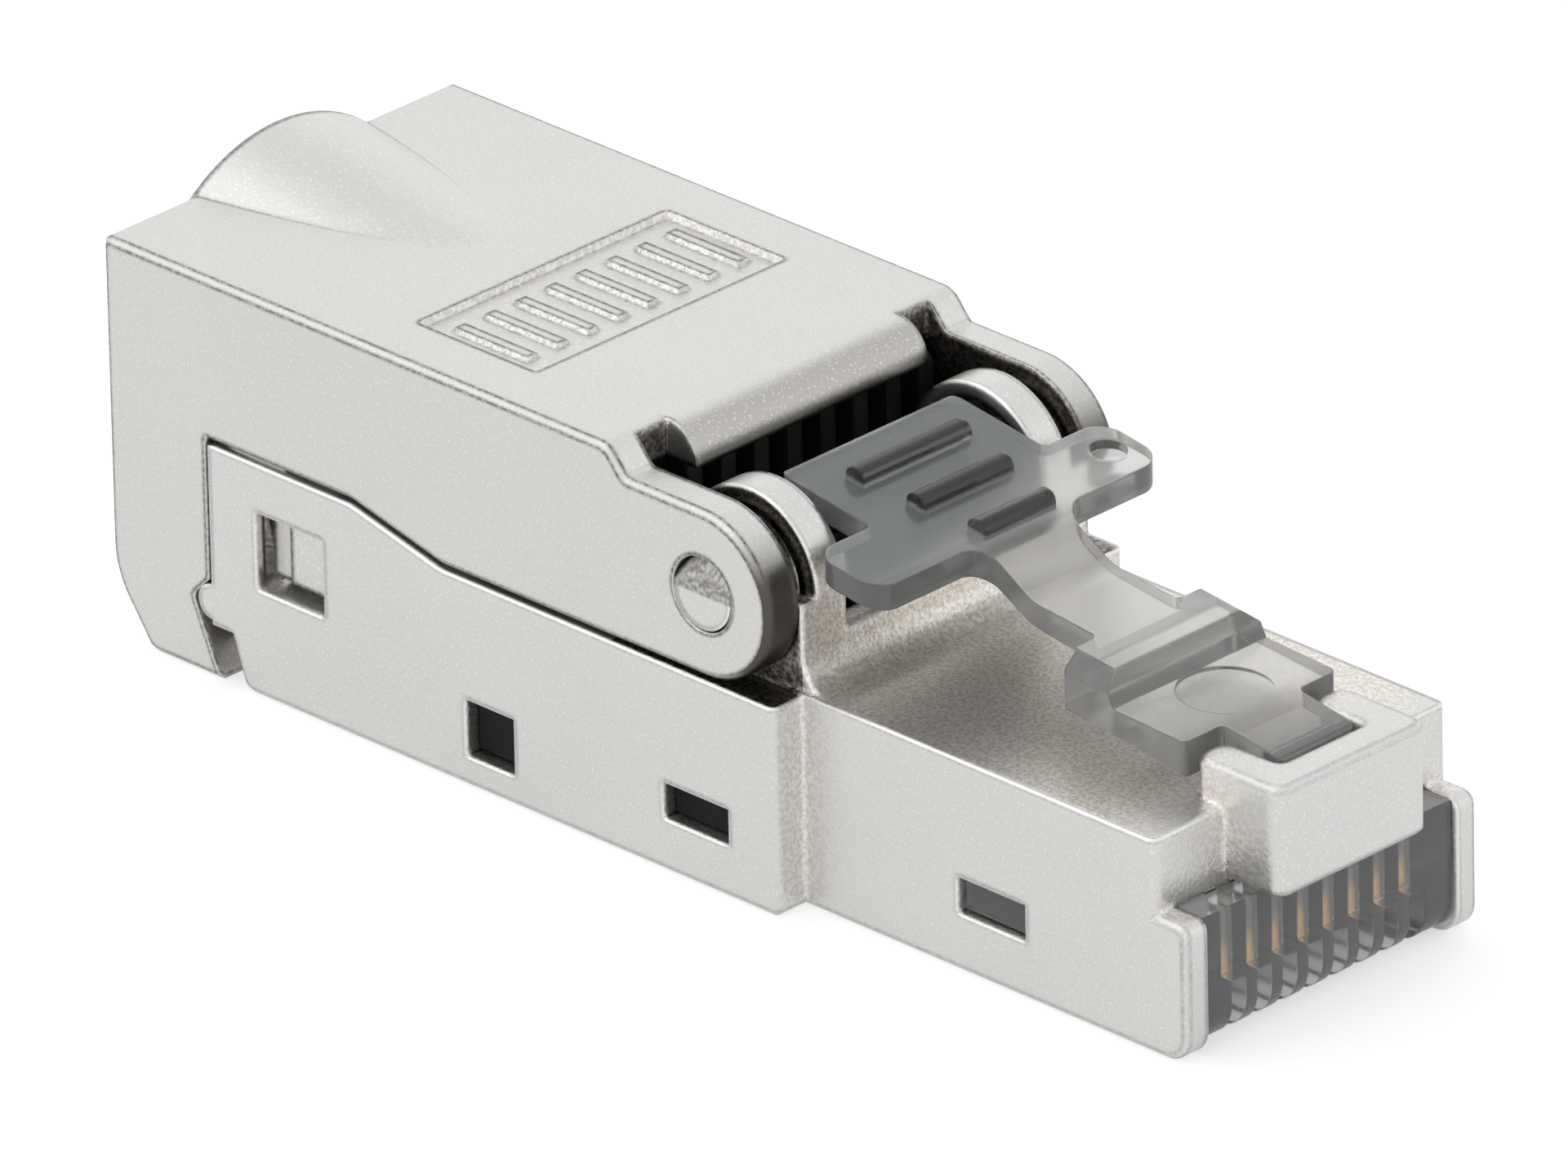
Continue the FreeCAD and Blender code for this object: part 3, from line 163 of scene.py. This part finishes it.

# Lower housing: one zinc die casting with the nose, the side walls and the hinge straps.
# It is blasted and plated with satin nickel, and gets painted glints and edge highlights.

nickel_tone = (0.765, 0.76, 0.745)
nickel_edge_highlight_tone = (1.0, 0.995, 0.98)
nickel_ridge_start = 0.07
nickel_line_share = 0.45
nickel_roughness = 0.36
nickel_edge_roughness = 0.16
nickel_edge_radius = 0.00034
nickel_patch_size = 0.004
nickel_patch_share = 0.95
nickel_glint_share = 1.12
nickel_glint_tone = (1.0, 0.99, 0.97)
broken_line_share = 0.6
hollow_shade_dark_tone = (0.70, 0.68, 0.65)
hollow_shade_light_tone = (0.88, 0.865, 0.84)
hollow_mottle = (0.40, 0.60)
hollow_reach = 0.006
hollow_depth = 1.0
hollow_roughening = 3
nose_reflection_dark_tone = (0.66, 0.622, 0.57)
nose_reflection_light_tone = (0.95, 0.915, 0.86)
coarse_mottle_limits = (0.30, 0.70)
nose_reflection_back = 0.0050
nose_reflection_fade = (0.0200, 0.0165)
nose_reflection_half = 0.0057
nose_reflection_bottom = 0.0064
blast_grain_size = 0.00014
blast_grain_depth = 0.000008
specks_per_grain = 1.7
speck_limits = (0.62, 0.74)
ridge_width = 0.09
line_limits = (0.012, 0.05)
recess_limits = (0.03, 0.42)
edge_samples = 12
recess_samples = 8
seat_back = -0.0010
seat_front = 0.00535
seat_inside = 0.0050
seat_outside = 0.0069
seat_bottom = 0.0060
seat_shade_dark_tone = (0.10, 0.09, 0.08)
seat_shade_light_tone = (0.42, 0.40, 0.37)
pin_centre = Vector((0.00275, 0, 0.0092))
pin_radius = 0.00113
pin_end = 0.006
pin_shade_rise = (-0.00008, 0.00002)
pin_shade_dark_tone = (0.26, 0.25, 0.24)
pin_shade_light_tone = (0.58, 0.57, 0.55)


def new_group(name, given, made):
    """A shader node group with its named inputs and outputs, each a (name, kind) pair."""
    group = bpy.data.node_groups.new(name, "ShaderNodeTree")
    for socket, kind in given:
        group.interface.new_socket(socket, in_out="INPUT", socket_type=f"NodeSocket{kind}")
    for socket, kind in made:
        group.interface.new_socket(socket, in_out="OUTPUT", socket_type=f"NodeSocket{kind}")
    return group, group.nodes.new("NodeGroupInput"), group.nodes.new("NodeGroupOutput")


def noise_of(tree, where, scale, detail):
    """A noise at the given places; scale is a number or another node's output."""
    noise = tree.nodes.new("ShaderNodeTexNoise")
    noise.inputs["Detail"].default_value = detail
    tree.links.new(where, noise.inputs["Vector"])
    if isinstance(scale, (int, float)):
        noise.inputs["Scale"].default_value = scale
    else:
        tree.links.new(scale, noise.inputs["Scale"])
    return noise.outputs["Fac"]


# Grain: the fine dimples that blasting, or a textured mould, leaves all over. Its specks
# are where painted glints go.
grain, grain_in, grain_out = new_group(
    "surface_grain",
    [("Grain Size", "Float"), ("Patch Size", "Float")],
    [("Height", "Float"), ("Patch", "Float"), ("Speck", "Float")],
)
grain_place = grain.nodes.new("ShaderNodeTexCoord").outputs["Object"]
grain_scale = math_of(grain, "DIVIDE", 1, grain_in.outputs["Grain Size"])
patch_scale = math_of(grain, "DIVIDE", 1, grain_in.outputs["Patch Size"])
grain.links.new(noise_of(grain, grain_place, grain_scale, 2), grain_out.inputs["Height"])
grain.links.new(noise_of(grain, grain_place, patch_scale, 3), grain_out.inputs["Patch"])
speck_scale = math_of(grain, "MULTIPLY", grain_scale, specks_per_grain)
speck_edge = grain.nodes.new("ShaderNodeMapRange")
speck_edge.inputs["From Min"].default_value = speck_limits[0]
speck_edge.inputs["From Max"].default_value = speck_limits[1]
grain.links.new(noise_of(grain, grain_place, speck_scale, 0), speck_edge.inputs["Value"])
grain.links.new(speck_edge.outputs["Result"], grain_out.inputs["Speck"])

# Soft edges: rounds the shading at every edge, and finds the edge's ridge for a painted
# highlight, and the line on each side of it for a painted dark reflection.
edges, edges_in, edges_out = new_group(
    "soft_edges",
    [("Radius", "Float"), ("Ridge Start", "Float")],
    [("Normal", "Vector"), ("Ridge", "Float"), ("Line", "Float")],
)
rounder = edges.nodes.new("ShaderNodeBevel")
rounder.samples = edge_samples
edges.links.new(edges_in.outputs["Radius"], rounder.inputs["Radius"])
edge_geometry = edges.nodes.new("ShaderNodeNewGeometry")
edge_turn = edges.nodes.new("ShaderNodeVectorMath")
edge_turn.operation = "DOT_PRODUCT"
edges.links.new(rounder.outputs["Normal"], edge_turn.inputs[0])
edges.links.new(edge_geometry.outputs["Normal"], edge_turn.inputs[1])
edge_share = math_of(edges, "SUBTRACT", 1, edge_turn.outputs["Value"])
ridge_start = edges_in.outputs["Ridge Start"]
ridge = ramp_of(
    edges, edge_share, ridge_start, math_of(edges, "ADD", ridge_start, ridge_width)
)
beside_ridge = math_of(edges, "SUBTRACT", ramp_of(edges, edge_share, *line_limits), ridge)
edges.links.new(rounder.outputs["Normal"], edges_out.inputs["Normal"])
edges.links.new(ridge, edges_out.inputs["Ridge"])
edges.links.new(beside_ridge, edges_out.inputs["Line"])

# Recesses: finds corners and hollows, where the colour turns to a painted shade, mottled
# by the grain, and the grain is roughened.
recess, recess_in, recess_out = new_group(
    "recesses", [("Reach", "Float"), ("Depth", "Float")], [("Recess", "Float")]
)
openness = recess.nodes.new("ShaderNodeAmbientOcclusion")
openness.samples = recess_samples
openness.only_local = True
recess.links.new(recess_in.outputs["Reach"], openness.inputs["Distance"])
closeness = math_of(recess, "SUBTRACT", 1, openness.outputs["AO"])
depth_share = math_of(recess, "MULTIPLY", closeness, recess_in.outputs["Depth"])
recess.links.new(ramp_of(recess, depth_share, *recess_limits), recess_out.inputs["Recess"])


def new_finish(name):
    """A material, its node tree and its shader."""
    finish = bpy.data.materials.new(name)
    finish.use_nodes = True
    return finish, finish.node_tree, finish.node_tree.nodes["Principled BSDF"]


def use_group(tree, group, **values):
    """A group placed in a material, with its own values."""
    user = tree.nodes.new("ShaderNodeGroup")
    user.node_tree = group
    for socket, value in values.items():
        user.inputs[socket.replace("_", " ")].default_value = value
    return user


def tone_between(tree, mask, low, high):
    """A colour that goes from low to high as the mask goes from 0 to 1."""
    mix = tree.nodes.new("ShaderNodeMix")
    mix.data_type = "RGBA"
    mix.clamp_factor = True
    tree.links.new(mask, mix.inputs["Factor"])
    for end, tone in (("A", low), ("B", high)):
        socket = [s for s in mix.inputs if s.name == end and s.type == "RGBA"][0]
        if isinstance(tone, tuple):
            socket.default_value = (*tone, 1)
        else:
            tree.links.new(tone, socket)
    return [s for s in mix.outputs if s.type == "RGBA"][0]


def rough_up(tree, shader, height, depth, normal=None):
    """Lay a height on the shader's normal, depth metres from its lowest to its highest."""
    bump = tree.nodes.new("ShaderNodeBump")
    bump.inputs["Distance"].default_value = depth
    tree.links.new(height, bump.inputs["Height"])
    if normal is not None:
        tree.links.new(normal, bump.inputs["Normal"])
    tree.links.new(bump.outputs["Normal"], shader.inputs["Normal"])


def put_on(finish, *names):
    """Give the named pieces this finish."""
    for name in names:
        parts[name].material_slots[0].material = finish


def satin_nickel(name, tone, edge_highlight_tone, ridge_start, line_share, recess_reach, recess_depth):
    """Blasted and nickel plated zinc, with its grain and painted glints. The painted highlight
    on an edge is wide where ridge_start is low, and a painted dark line of line_share of the
    tone runs on each side of it. Hollows get a painted shade, mottled by the grain, as far as
    recess_reach metres from their walls."""
    finish, tree, shader = new_finish(name)
    surface = use_group(
        tree, grain, Grain_Size=blast_grain_size, Patch_Size=nickel_patch_size
    )
    rim = use_group(tree, edges, Radius=nickel_edge_radius, Ridge_Start=ridge_start)
    hollow = use_group(tree, recess, Reach=recess_reach, Depth=recess_depth)
    dull_tone = tuple(nickel_patch_share * part for part in tone)
    glint_tone = tuple(nickel_glint_share * part for part in tone)
    line_tone = tuple(line_share * part for part in tone)
    flat = tone_between(tree, surface.outputs["Patch"], dull_tone, tone)
    # Painted glints on the specks.
    bright = tone_between(tree, surface.outputs["Speck"], flat, glint_tone)
    mottle = ramp_of(tree, surface.outputs["Height"], *hollow_mottle)
    broken_line = math_of(
        tree, "MULTIPLY", rim.outputs["Line"], between(tree, mottle, 1, broken_line_share)
    )
    # Painted dark reflection lines beside each edge, then a painted highlight on its ridge.
    lined = tone_between(tree, broken_line, bright, line_tone)
    edge_highlighted = tone_between(tree, rim.outputs["Ridge"], lined, edge_highlight_tone)
    # Painted shade in corners and hollows, mottled by the grain.
    hollow_shade = tone_between(tree, mottle, hollow_shade_dark_tone, hollow_shade_light_tone)
    tree.links.new(
        tone_between(tree, hollow.outputs["Recess"], edge_highlighted, hollow_shade), shader.inputs["Base Color"]
    )
    tree.links.new(
        between(tree, rim.outputs["Ridge"], nickel_roughness, nickel_edge_roughness),
        shader.inputs["Roughness"],
    )
    shader.inputs["Metallic"].default_value = 1
    depth = between(tree, hollow.outputs["Recess"], 1, hollow_roughening)
    height = math_of(tree, "MULTIPLY", surface.outputs["Height"], depth)
    rough_up(tree, shader, height, blast_grain_depth, rim.outputs["Normal"])
    return finish, surface, rim


def parts_of(tree, output):
    """The X, Y and Z of the object's own coordinates or normal."""
    split = tree.nodes.new("ShaderNodeSeparateXYZ")
    tree.links.new(tree.nodes.new("ShaderNodeTexCoord").outputs[output], split.inputs[0])
    return split.outputs["X"], split.outputs["Y"], split.outputs["Z"]


def all_of(tree, *masks):
    """A mask that is 1 where all of the masks are 1."""
    result = masks[0]
    for mask in masks[1:]:
        result = math_of(tree, "MULTIPLY", result, mask)
    return result


def over(tree, value, limit):
    """A mask that is 1 where the value is above the limit."""
    return math_of(tree, "GREATER_THAN", value, limit)


def under(tree, value, limit):
    """A mask that is 1 where the value is below the limit."""
    return math_of(tree, "LESS_THAN", value, limit)


def shade(tree, mask, tone):
    """Lay a tone over the shader's colour where the mask is 1."""
    colour = tree.nodes["Principled BSDF"].inputs["Base Color"]
    tree.links.new(tone_between(tree, mask, colour.links[0].from_socket, tone), colour)


housing_nickel, housing_surface, housing_rim = satin_nickel(
    "nickel_housing", nickel_tone, nickel_edge_highlight_tone, nickel_ridge_start, nickel_line_share,
    hollow_reach, hollow_depth,
)
housing_tree = housing_nickel.node_tree
across, side, upright = parts_of(housing_tree, "Object")
sideways = math_of(housing_tree, "ABSOLUTE", side)

# The nose's top and the wall behind it get a painted reflection of the parts around them:
# warmer, mottled by a coarse grain, with painted glints.
nose_reflection = all_of(
    housing_tree,
    over(housing_tree, across, nose_reflection_back),
    ramp_of(housing_tree, across, *nose_reflection_fade),
    under(housing_tree, sideways, nose_reflection_half),
    over(housing_tree, upright, nose_reflection_bottom),
)
coarse_mottle = ramp_of(housing_tree, housing_surface.outputs["Height"], *coarse_mottle_limits)
nose_reflection_tone = tone_between(housing_tree, coarse_mottle, nose_reflection_dark_tone, nose_reflection_light_tone)
shade(housing_tree, nose_reflection, nose_reflection_tone)
nose_glints = all_of(housing_tree, nose_reflection, housing_surface.outputs["Speck"])
shade(housing_tree, nose_glints, nickel_glint_tone)

# The seats of the cover's ears, round the pins, get a dark, mottled painted shade.
along_pin = math_of(housing_tree, "SUBTRACT", across, pin_centre.x)
over_pin = math_of(housing_tree, "SUBTRACT", upright, pin_centre.z)
from_pin = math_of(
    housing_tree,
    "SQRT",
    math_of(housing_tree, "MULTIPLY_ADD", along_pin, along_pin,
            math_of(housing_tree, "MULTIPLY", over_pin, over_pin)),
)
ear_seat_shade = all_of(
    housing_tree,
    over(housing_tree, across, seat_back),
    under(housing_tree, across, seat_front),
    over(housing_tree, sideways, seat_inside),
    under(housing_tree, sideways, seat_outside),
    over(housing_tree, upright, seat_bottom),
    over(housing_tree, from_pin, pin_radius),
    between(housing_tree, housing_rim.outputs["Ridge"], 1, 0),
)
seat_shade_tone = tone_between(housing_tree, coarse_mottle, seat_shade_dark_tone, seat_shade_light_tone)
shade(housing_tree, ear_seat_shade, seat_shade_tone)

# The real pin's upper end is a slanted lead-in; here that half of the flat end gets a dark,
# mottled painted shade.
pin_top_shade = all_of(
    housing_tree,
    under(housing_tree, from_pin, pin_radius),
    over(housing_tree, sideways, pin_end),
    ramp_of(housing_tree, over_pin, *pin_shade_rise),
)
pin_shade_tone = tone_between(housing_tree, coarse_mottle, pin_shade_dark_tone, pin_shade_light_tone)
shade(housing_tree, pin_top_shade, pin_shade_tone)
put_on(housing_nickel, "lower_housing")

# Board tray, board and shield spring: the tray is black glass-filled plastic whose lugs
# snap into the side windows. It holds the green board, and the bronze strip behind it
# touches the cable's braid.

plastic_edge_radius = 0.0001
plastic_ridge_start = 0.1
plastic_patch_size = 0.002
plastic_specular = 0.14
plastic_dulling = 1.3
black_roughness = 0.45
black_grain_size = 0.00012
black_grain_depth = 0.000003
black_tone = (0.006, 0.006, 0.0065)
black_wear_and_edge_sheen_tone = (0.018, 0.018, 0.019)
board_tone = (0.008, 0.09, 0.03)
board_light_tone = (0.02, 0.16, 0.06)
board_roughness = 0.25
board_grain_size = 0.0003
board_grain_depth = 0.000001
strip_grain_size = 0.0001
strip_patch_size = 0.0012
strip_grain_depth = 0.000001
strip_dulling = 1.4
bronze_tone = (0.70, 0.50, 0.28)
bronze_dull_tone = (0.55, 0.38, 0.20)
bronze_roughness = 0.28


def moulded_plastic(name, tone, light_tone, roughness, grain_size, grain_depth):
    """Plastic from a fine-textured mould, with a painted highlight on its edges."""
    finish, tree, shader = new_finish(name)
    shader.inputs["Specular IOR Level"].default_value = plastic_specular
    surface = use_group(tree, grain, Grain_Size=grain_size, Patch_Size=plastic_patch_size)
    rim = use_group(tree, edges, Radius=plastic_edge_radius, Ridge_Start=plastic_ridge_start)
    patch = surface.outputs["Patch"]
    body = tone_between(tree, patch, tone, light_tone)
    tree.links.new(
        tone_between(tree, rim.outputs["Ridge"], body, light_tone), shader.inputs["Base Color"]
    )
    tree.links.new(
        between(tree, patch, roughness, roughness * plastic_dulling), shader.inputs["Roughness"]
    )
    rough_up(tree, shader, surface.outputs["Height"], grain_depth, rim.outputs["Normal"])
    return finish


def thin_metal(name, tone, dull_tone, roughness):
    """Stamped strip, rolled bright, with a faint grain."""
    finish, tree, shader = new_finish(name)
    surface = use_group(
        tree, grain, Grain_Size=strip_grain_size, Patch_Size=strip_patch_size
    )
    patch = surface.outputs["Patch"]
    tree.links.new(tone_between(tree, patch, dull_tone, tone), shader.inputs["Base Color"])
    tree.links.new(
        between(tree, patch, roughness, roughness * strip_dulling), shader.inputs["Roughness"]
    )
    shader.inputs["Metallic"].default_value = 1
    rough_up(tree, shader, surface.outputs["Height"], strip_grain_depth)
    return finish


black_plastic = moulded_plastic(
    "black_tray_plastic", black_tone, black_wear_and_edge_sheen_tone, black_roughness, black_grain_size,
    black_grain_depth,
)
put_on(black_plastic, "board_tray")
lacquer = moulded_plastic(
    "board_lacquer", board_tone, board_light_tone, board_roughness, board_grain_size,
    board_grain_depth,
)
put_on(lacquer, "circuit_board")
bronze = thin_metal("spring_bronze", bronze_tone, bronze_dull_tone, bronze_roughness)
put_on(bronze, "shield_spring")

# Contact carrier: a comb of dark smoke polycarbonate, pushed into the nose from the
# front. Light only just gets through its ribs.

comb_tone = (0.93, 0.94, 0.94)
comb_light_tone = (0.97, 0.98, 0.98)
comb_smoke = (0.26, 0.27, 0.28)
comb_smoke_density = 110
comb_clearness = 0.9
comb_roughness = 0.1
clear_grain_size = 0.0004
clear_grain_depth = 0.000001
clear_patch_size = 0.003
clear_dulling = 1.5
polycarbonate_ior = 1.5


def clear_plastic(name, tone, light_tone, clearness, roughness, smoke, smoke_density):
    """Polished see-through plastic; clearness is the share of light that goes through its
    face, and the smoke takes its share on the way, more in thick places."""
    finish, tree, shader = new_finish(name)
    inside = tree.nodes.new("ShaderNodeVolumeAbsorption")
    inside.inputs["Color"].default_value = (*smoke, 1)
    inside.inputs["Density"].default_value = smoke_density
    tree.links.new(inside.outputs["Volume"], tree.nodes["Material Output"].inputs["Volume"])
    surface = use_group(
        tree, grain, Grain_Size=clear_grain_size, Patch_Size=clear_patch_size
    )
    rim = use_group(tree, edges, Radius=plastic_edge_radius, Ridge_Start=plastic_ridge_start)
    patch = surface.outputs["Patch"]
    tree.links.new(tone_between(tree, patch, tone, light_tone), shader.inputs["Base Color"])
    shader.inputs["Transmission Weight"].default_value = clearness
    shader.inputs["IOR"].default_value = polycarbonate_ior
    tree.links.new(
        between(tree, patch, roughness, roughness * clear_dulling), shader.inputs["Roughness"]
    )
    rough_up(
        tree, shader, surface.outputs["Height"], clear_grain_depth, rim.outputs["Normal"]
    )
    return finish


dark_smoke = clear_plastic(
    "dark_smoke_plastic", comb_tone, comb_light_tone, comb_clearness, comb_roughness,
    comb_smoke, comb_smoke_density,
)
put_on(dark_smoke, "contact_carrier")

# Contacts: eight blades stand in the comb's slots, each on its own track of the board.
# They are gold plated where the socket's springs touch them; above, their colour is
# painted dark as shade under the thick smoke plastic.

gold_tone = (1.0, 0.60, 0.20)
gold_dull_tone = (0.88, 0.45, 0.12)
gold_roughness = 0.22
contact_shade_rise = (0.0022, 0.0032)
contact_shade_tone = (0.15, 0.15, 0.145)
ways = 8

gold = thin_metal("contact_gold", gold_tone, gold_dull_tone, gold_roughness)
gold_tree = gold.node_tree
upright = parts_of(gold_tree, "Object")[2]
shade(gold_tree, ramp_of(gold_tree, upright, *contact_shade_rise), contact_shade_tone)
put_on(gold, *(f"plug_contact_{way + 1}" for way in range(ways)))

# Fork block, forks and wire manager: eight tinned forks stand in a black block on the
# board. The closing cover presses the wire manager onto them, and they cut through the
# wires' insulation.

tin_tone = (0.72, 0.72, 0.73)
tin_dull_tone = (0.58, 0.58, 0.60)
tin_roughness = 0.3
manager_tone = (0.008, 0.008, 0.0085)
manager_light_tone = (0.025, 0.025, 0.026)
manager_roughness = 0.4

put_on(black_plastic, "fork_block")
tin = thin_metal("fork_tin", tin_tone, tin_dull_tone, tin_roughness)
put_on(tin, *(f"idc_fork_{way + 1}" for way in range(ways)))
manager_plastic = moulded_plastic(
    "wire_manager_plastic", manager_tone, manager_light_tone, manager_roughness,
    black_grain_size, black_grain_depth,
)
put_on(manager_plastic, "wire_manager")

# Hinged cover: the second die casting, in the same blasted nickel with finer edges. Its
# two round ears turn on the housing's pins.

cover_tone = (0.75, 0.743, 0.725)
cover_edge_highlight_tone = (0.84, 0.835, 0.82)
cover_ridge_start = 0.19
cover_line_share = 0.1
cover_hollow_reach = 0.0012
cover_hollow_depth = 0.7
lip_half = 0.0047
lip_back = -0.0012
lip_front = 0.0003
lip_facing_front = (0.12, 0.55)
lip_turned_down = (0.45, -0.15)
lip_front_shade_tone = (0.52, 0.505, 0.48)
lip_glint_share = 0.35
lip_shade_tone = (0.05, 0.045, 0.04)
notch_back = -0.0014
notch_inside = 0.00463
notch_outside = 0.0059
notch_facing_up = (0.80, 0.40)
notch_shade_dark_tone = (0.12, 0.11, 0.10)
notch_shade_light_tone = (0.42, 0.40, 0.37)
ear_inside = 0.0054
ear_back = 0.0030
ear_top = (0.0116, 0.0100)
ear_facing_front = (0.15, 0.50)
ear_shade_tone = (0.11, 0.10, 0.09)

cover_nickel, cover_surface, _ = satin_nickel(
    "nickel_cover", cover_tone, cover_edge_highlight_tone, cover_ridge_start, cover_line_share,
    cover_hollow_reach, cover_hollow_depth,
)
cover_tree = cover_nickel.node_tree
across, side, upright = parts_of(cover_tree, "Object")
facing_front, _, facing_up = parts_of(cover_tree, "Normal")
sideways = math_of(cover_tree, "ABSOLUTE", side)

# The lip's round front gets a painted shade with painted glints, and its lower half a
# darker painted shade from the gap.
on_lip = all_of(
    cover_tree,
    under(cover_tree, sideways, lip_half),
    over(cover_tree, across, lip_back),
    under(cover_tree, across, lip_front),
    ramp_of(cover_tree, facing_front, *lip_facing_front),
)
shade(cover_tree, on_lip, lip_front_shade_tone)
lip_glints = between(cover_tree, cover_surface.outputs["Speck"], 0, lip_glint_share)
shade(cover_tree, all_of(cover_tree, on_lip, lip_glints), nickel_glint_tone)
under_lip = all_of(cover_tree, on_lip, ramp_of(cover_tree, facing_up, *lip_turned_down))
shade(cover_tree, under_lip, lip_shade_tone)

# The notches beside the lip and the ears' inner sides get a dark, mottled painted shade.
in_notch = all_of(
    cover_tree,
    over(cover_tree, across, notch_back),
    over(cover_tree, sideways, notch_inside),
    under(cover_tree, sideways, notch_outside),
    ramp_of(cover_tree, facing_up, *notch_facing_up),
)
notch_mottle = ramp_of(cover_tree, cover_surface.outputs["Height"], *coarse_mottle_limits)
notch_shade_tone = tone_between(cover_tree, notch_mottle, notch_shade_dark_tone, notch_shade_light_tone)
shade(cover_tree, in_notch, notch_shade_tone)

# The lower fronts of its two round ears get a dark painted shade too.
on_ear_front = all_of(
    cover_tree,
    over(cover_tree, sideways, ear_inside),
    over(cover_tree, across, ear_back),
    ramp_of(cover_tree, upright, *ear_top),
    ramp_of(cover_tree, facing_front, *ear_facing_front),
)
shade(cover_tree, on_ear_front, ear_shade_tone)
put_on(cover_nickel, "hinged_cover")

# Release latch: one moulding of clear smoke polycarbonate. It bends at its root in the
# key block, and a thumb on the ribbed pad presses it down.

latch_tone = (0.93, 0.93, 0.92)
latch_light_tone = (0.97, 0.97, 0.96)
latch_side_shade_tone = (0.45, 0.45, 0.44)
latch_smoke = (0.40, 0.40, 0.40)
latch_smoke_density = 70
latch_clearness = 0.8
latch_roughness = 0.12
latch_facing_up = (0.80, 0.96)
pad_edge = Vector((0.00835, 0, 0.01072))
pad_slope = 0.1419
pad_blend = (0.0002, 0.0022)
pad_skew = 0.3
pad_shade_tone = (0.55, 0.585, 0.605)
rib_foot = (0.00006, 0.00016)
rib_shade_tone = (0.04, 0.041, 0.043)
rib_roughness = 0.04
tongue_root = (0.0168, 0.0178)
tongue_tone = (0.62, 0.61, 0.60)

latch_plastic = clear_plastic(
    "clear_smoke_plastic", latch_tone, latch_light_tone, latch_clearness, latch_roughness,
    latch_smoke, latch_smoke_density,
)
latch_tree = latch_plastic.node_tree
across, side, upright = parts_of(latch_tree, "Object")
facing_up = parts_of(latch_tree, "Normal")[2]
upward_share = ramp_of(latch_tree, facing_up, *latch_facing_up)
behind_edge = math_of(latch_tree, "SUBTRACT", pad_edge.x, across)
pad_height = math_of(latch_tree, "MULTIPLY_ADD", behind_edge, pad_slope, pad_edge.z)
over_pad = math_of(latch_tree, "SUBTRACT", upright, pad_height)
pad_shade_side = math_of(latch_tree, "MULTIPLY_ADD", side, -pad_skew, behind_edge)
on_rib = ramp_of(latch_tree, over_pad, *rib_foot)

# Each tone covers what the tones before it coloured.
shade(latch_tree, ramp_of(latch_tree, across, *tongue_root), tongue_tone)
# Painted shade on the pad: the dark hollow seen through it, deeper on the near side.
shade(latch_tree, ramp_of(latch_tree, pad_shade_side, *pad_blend), pad_shade_tone)
# Painted shade on the faces that don't face up.
shade(latch_tree, between(latch_tree, upward_share, 1, 0), latch_side_shade_tone)
# Painted shade on the ribs: near-black, as the dark hollow seen through them.
shade(latch_tree, on_rib, rib_shade_tone)
gloss = latch_tree.nodes["Principled BSDF"].inputs["Roughness"]
latch_tree.links.new(
    between(latch_tree, on_rib, gloss.links[0].from_socket, rib_roughness), gloss
)
put_on(latch_plastic, "release_latch")
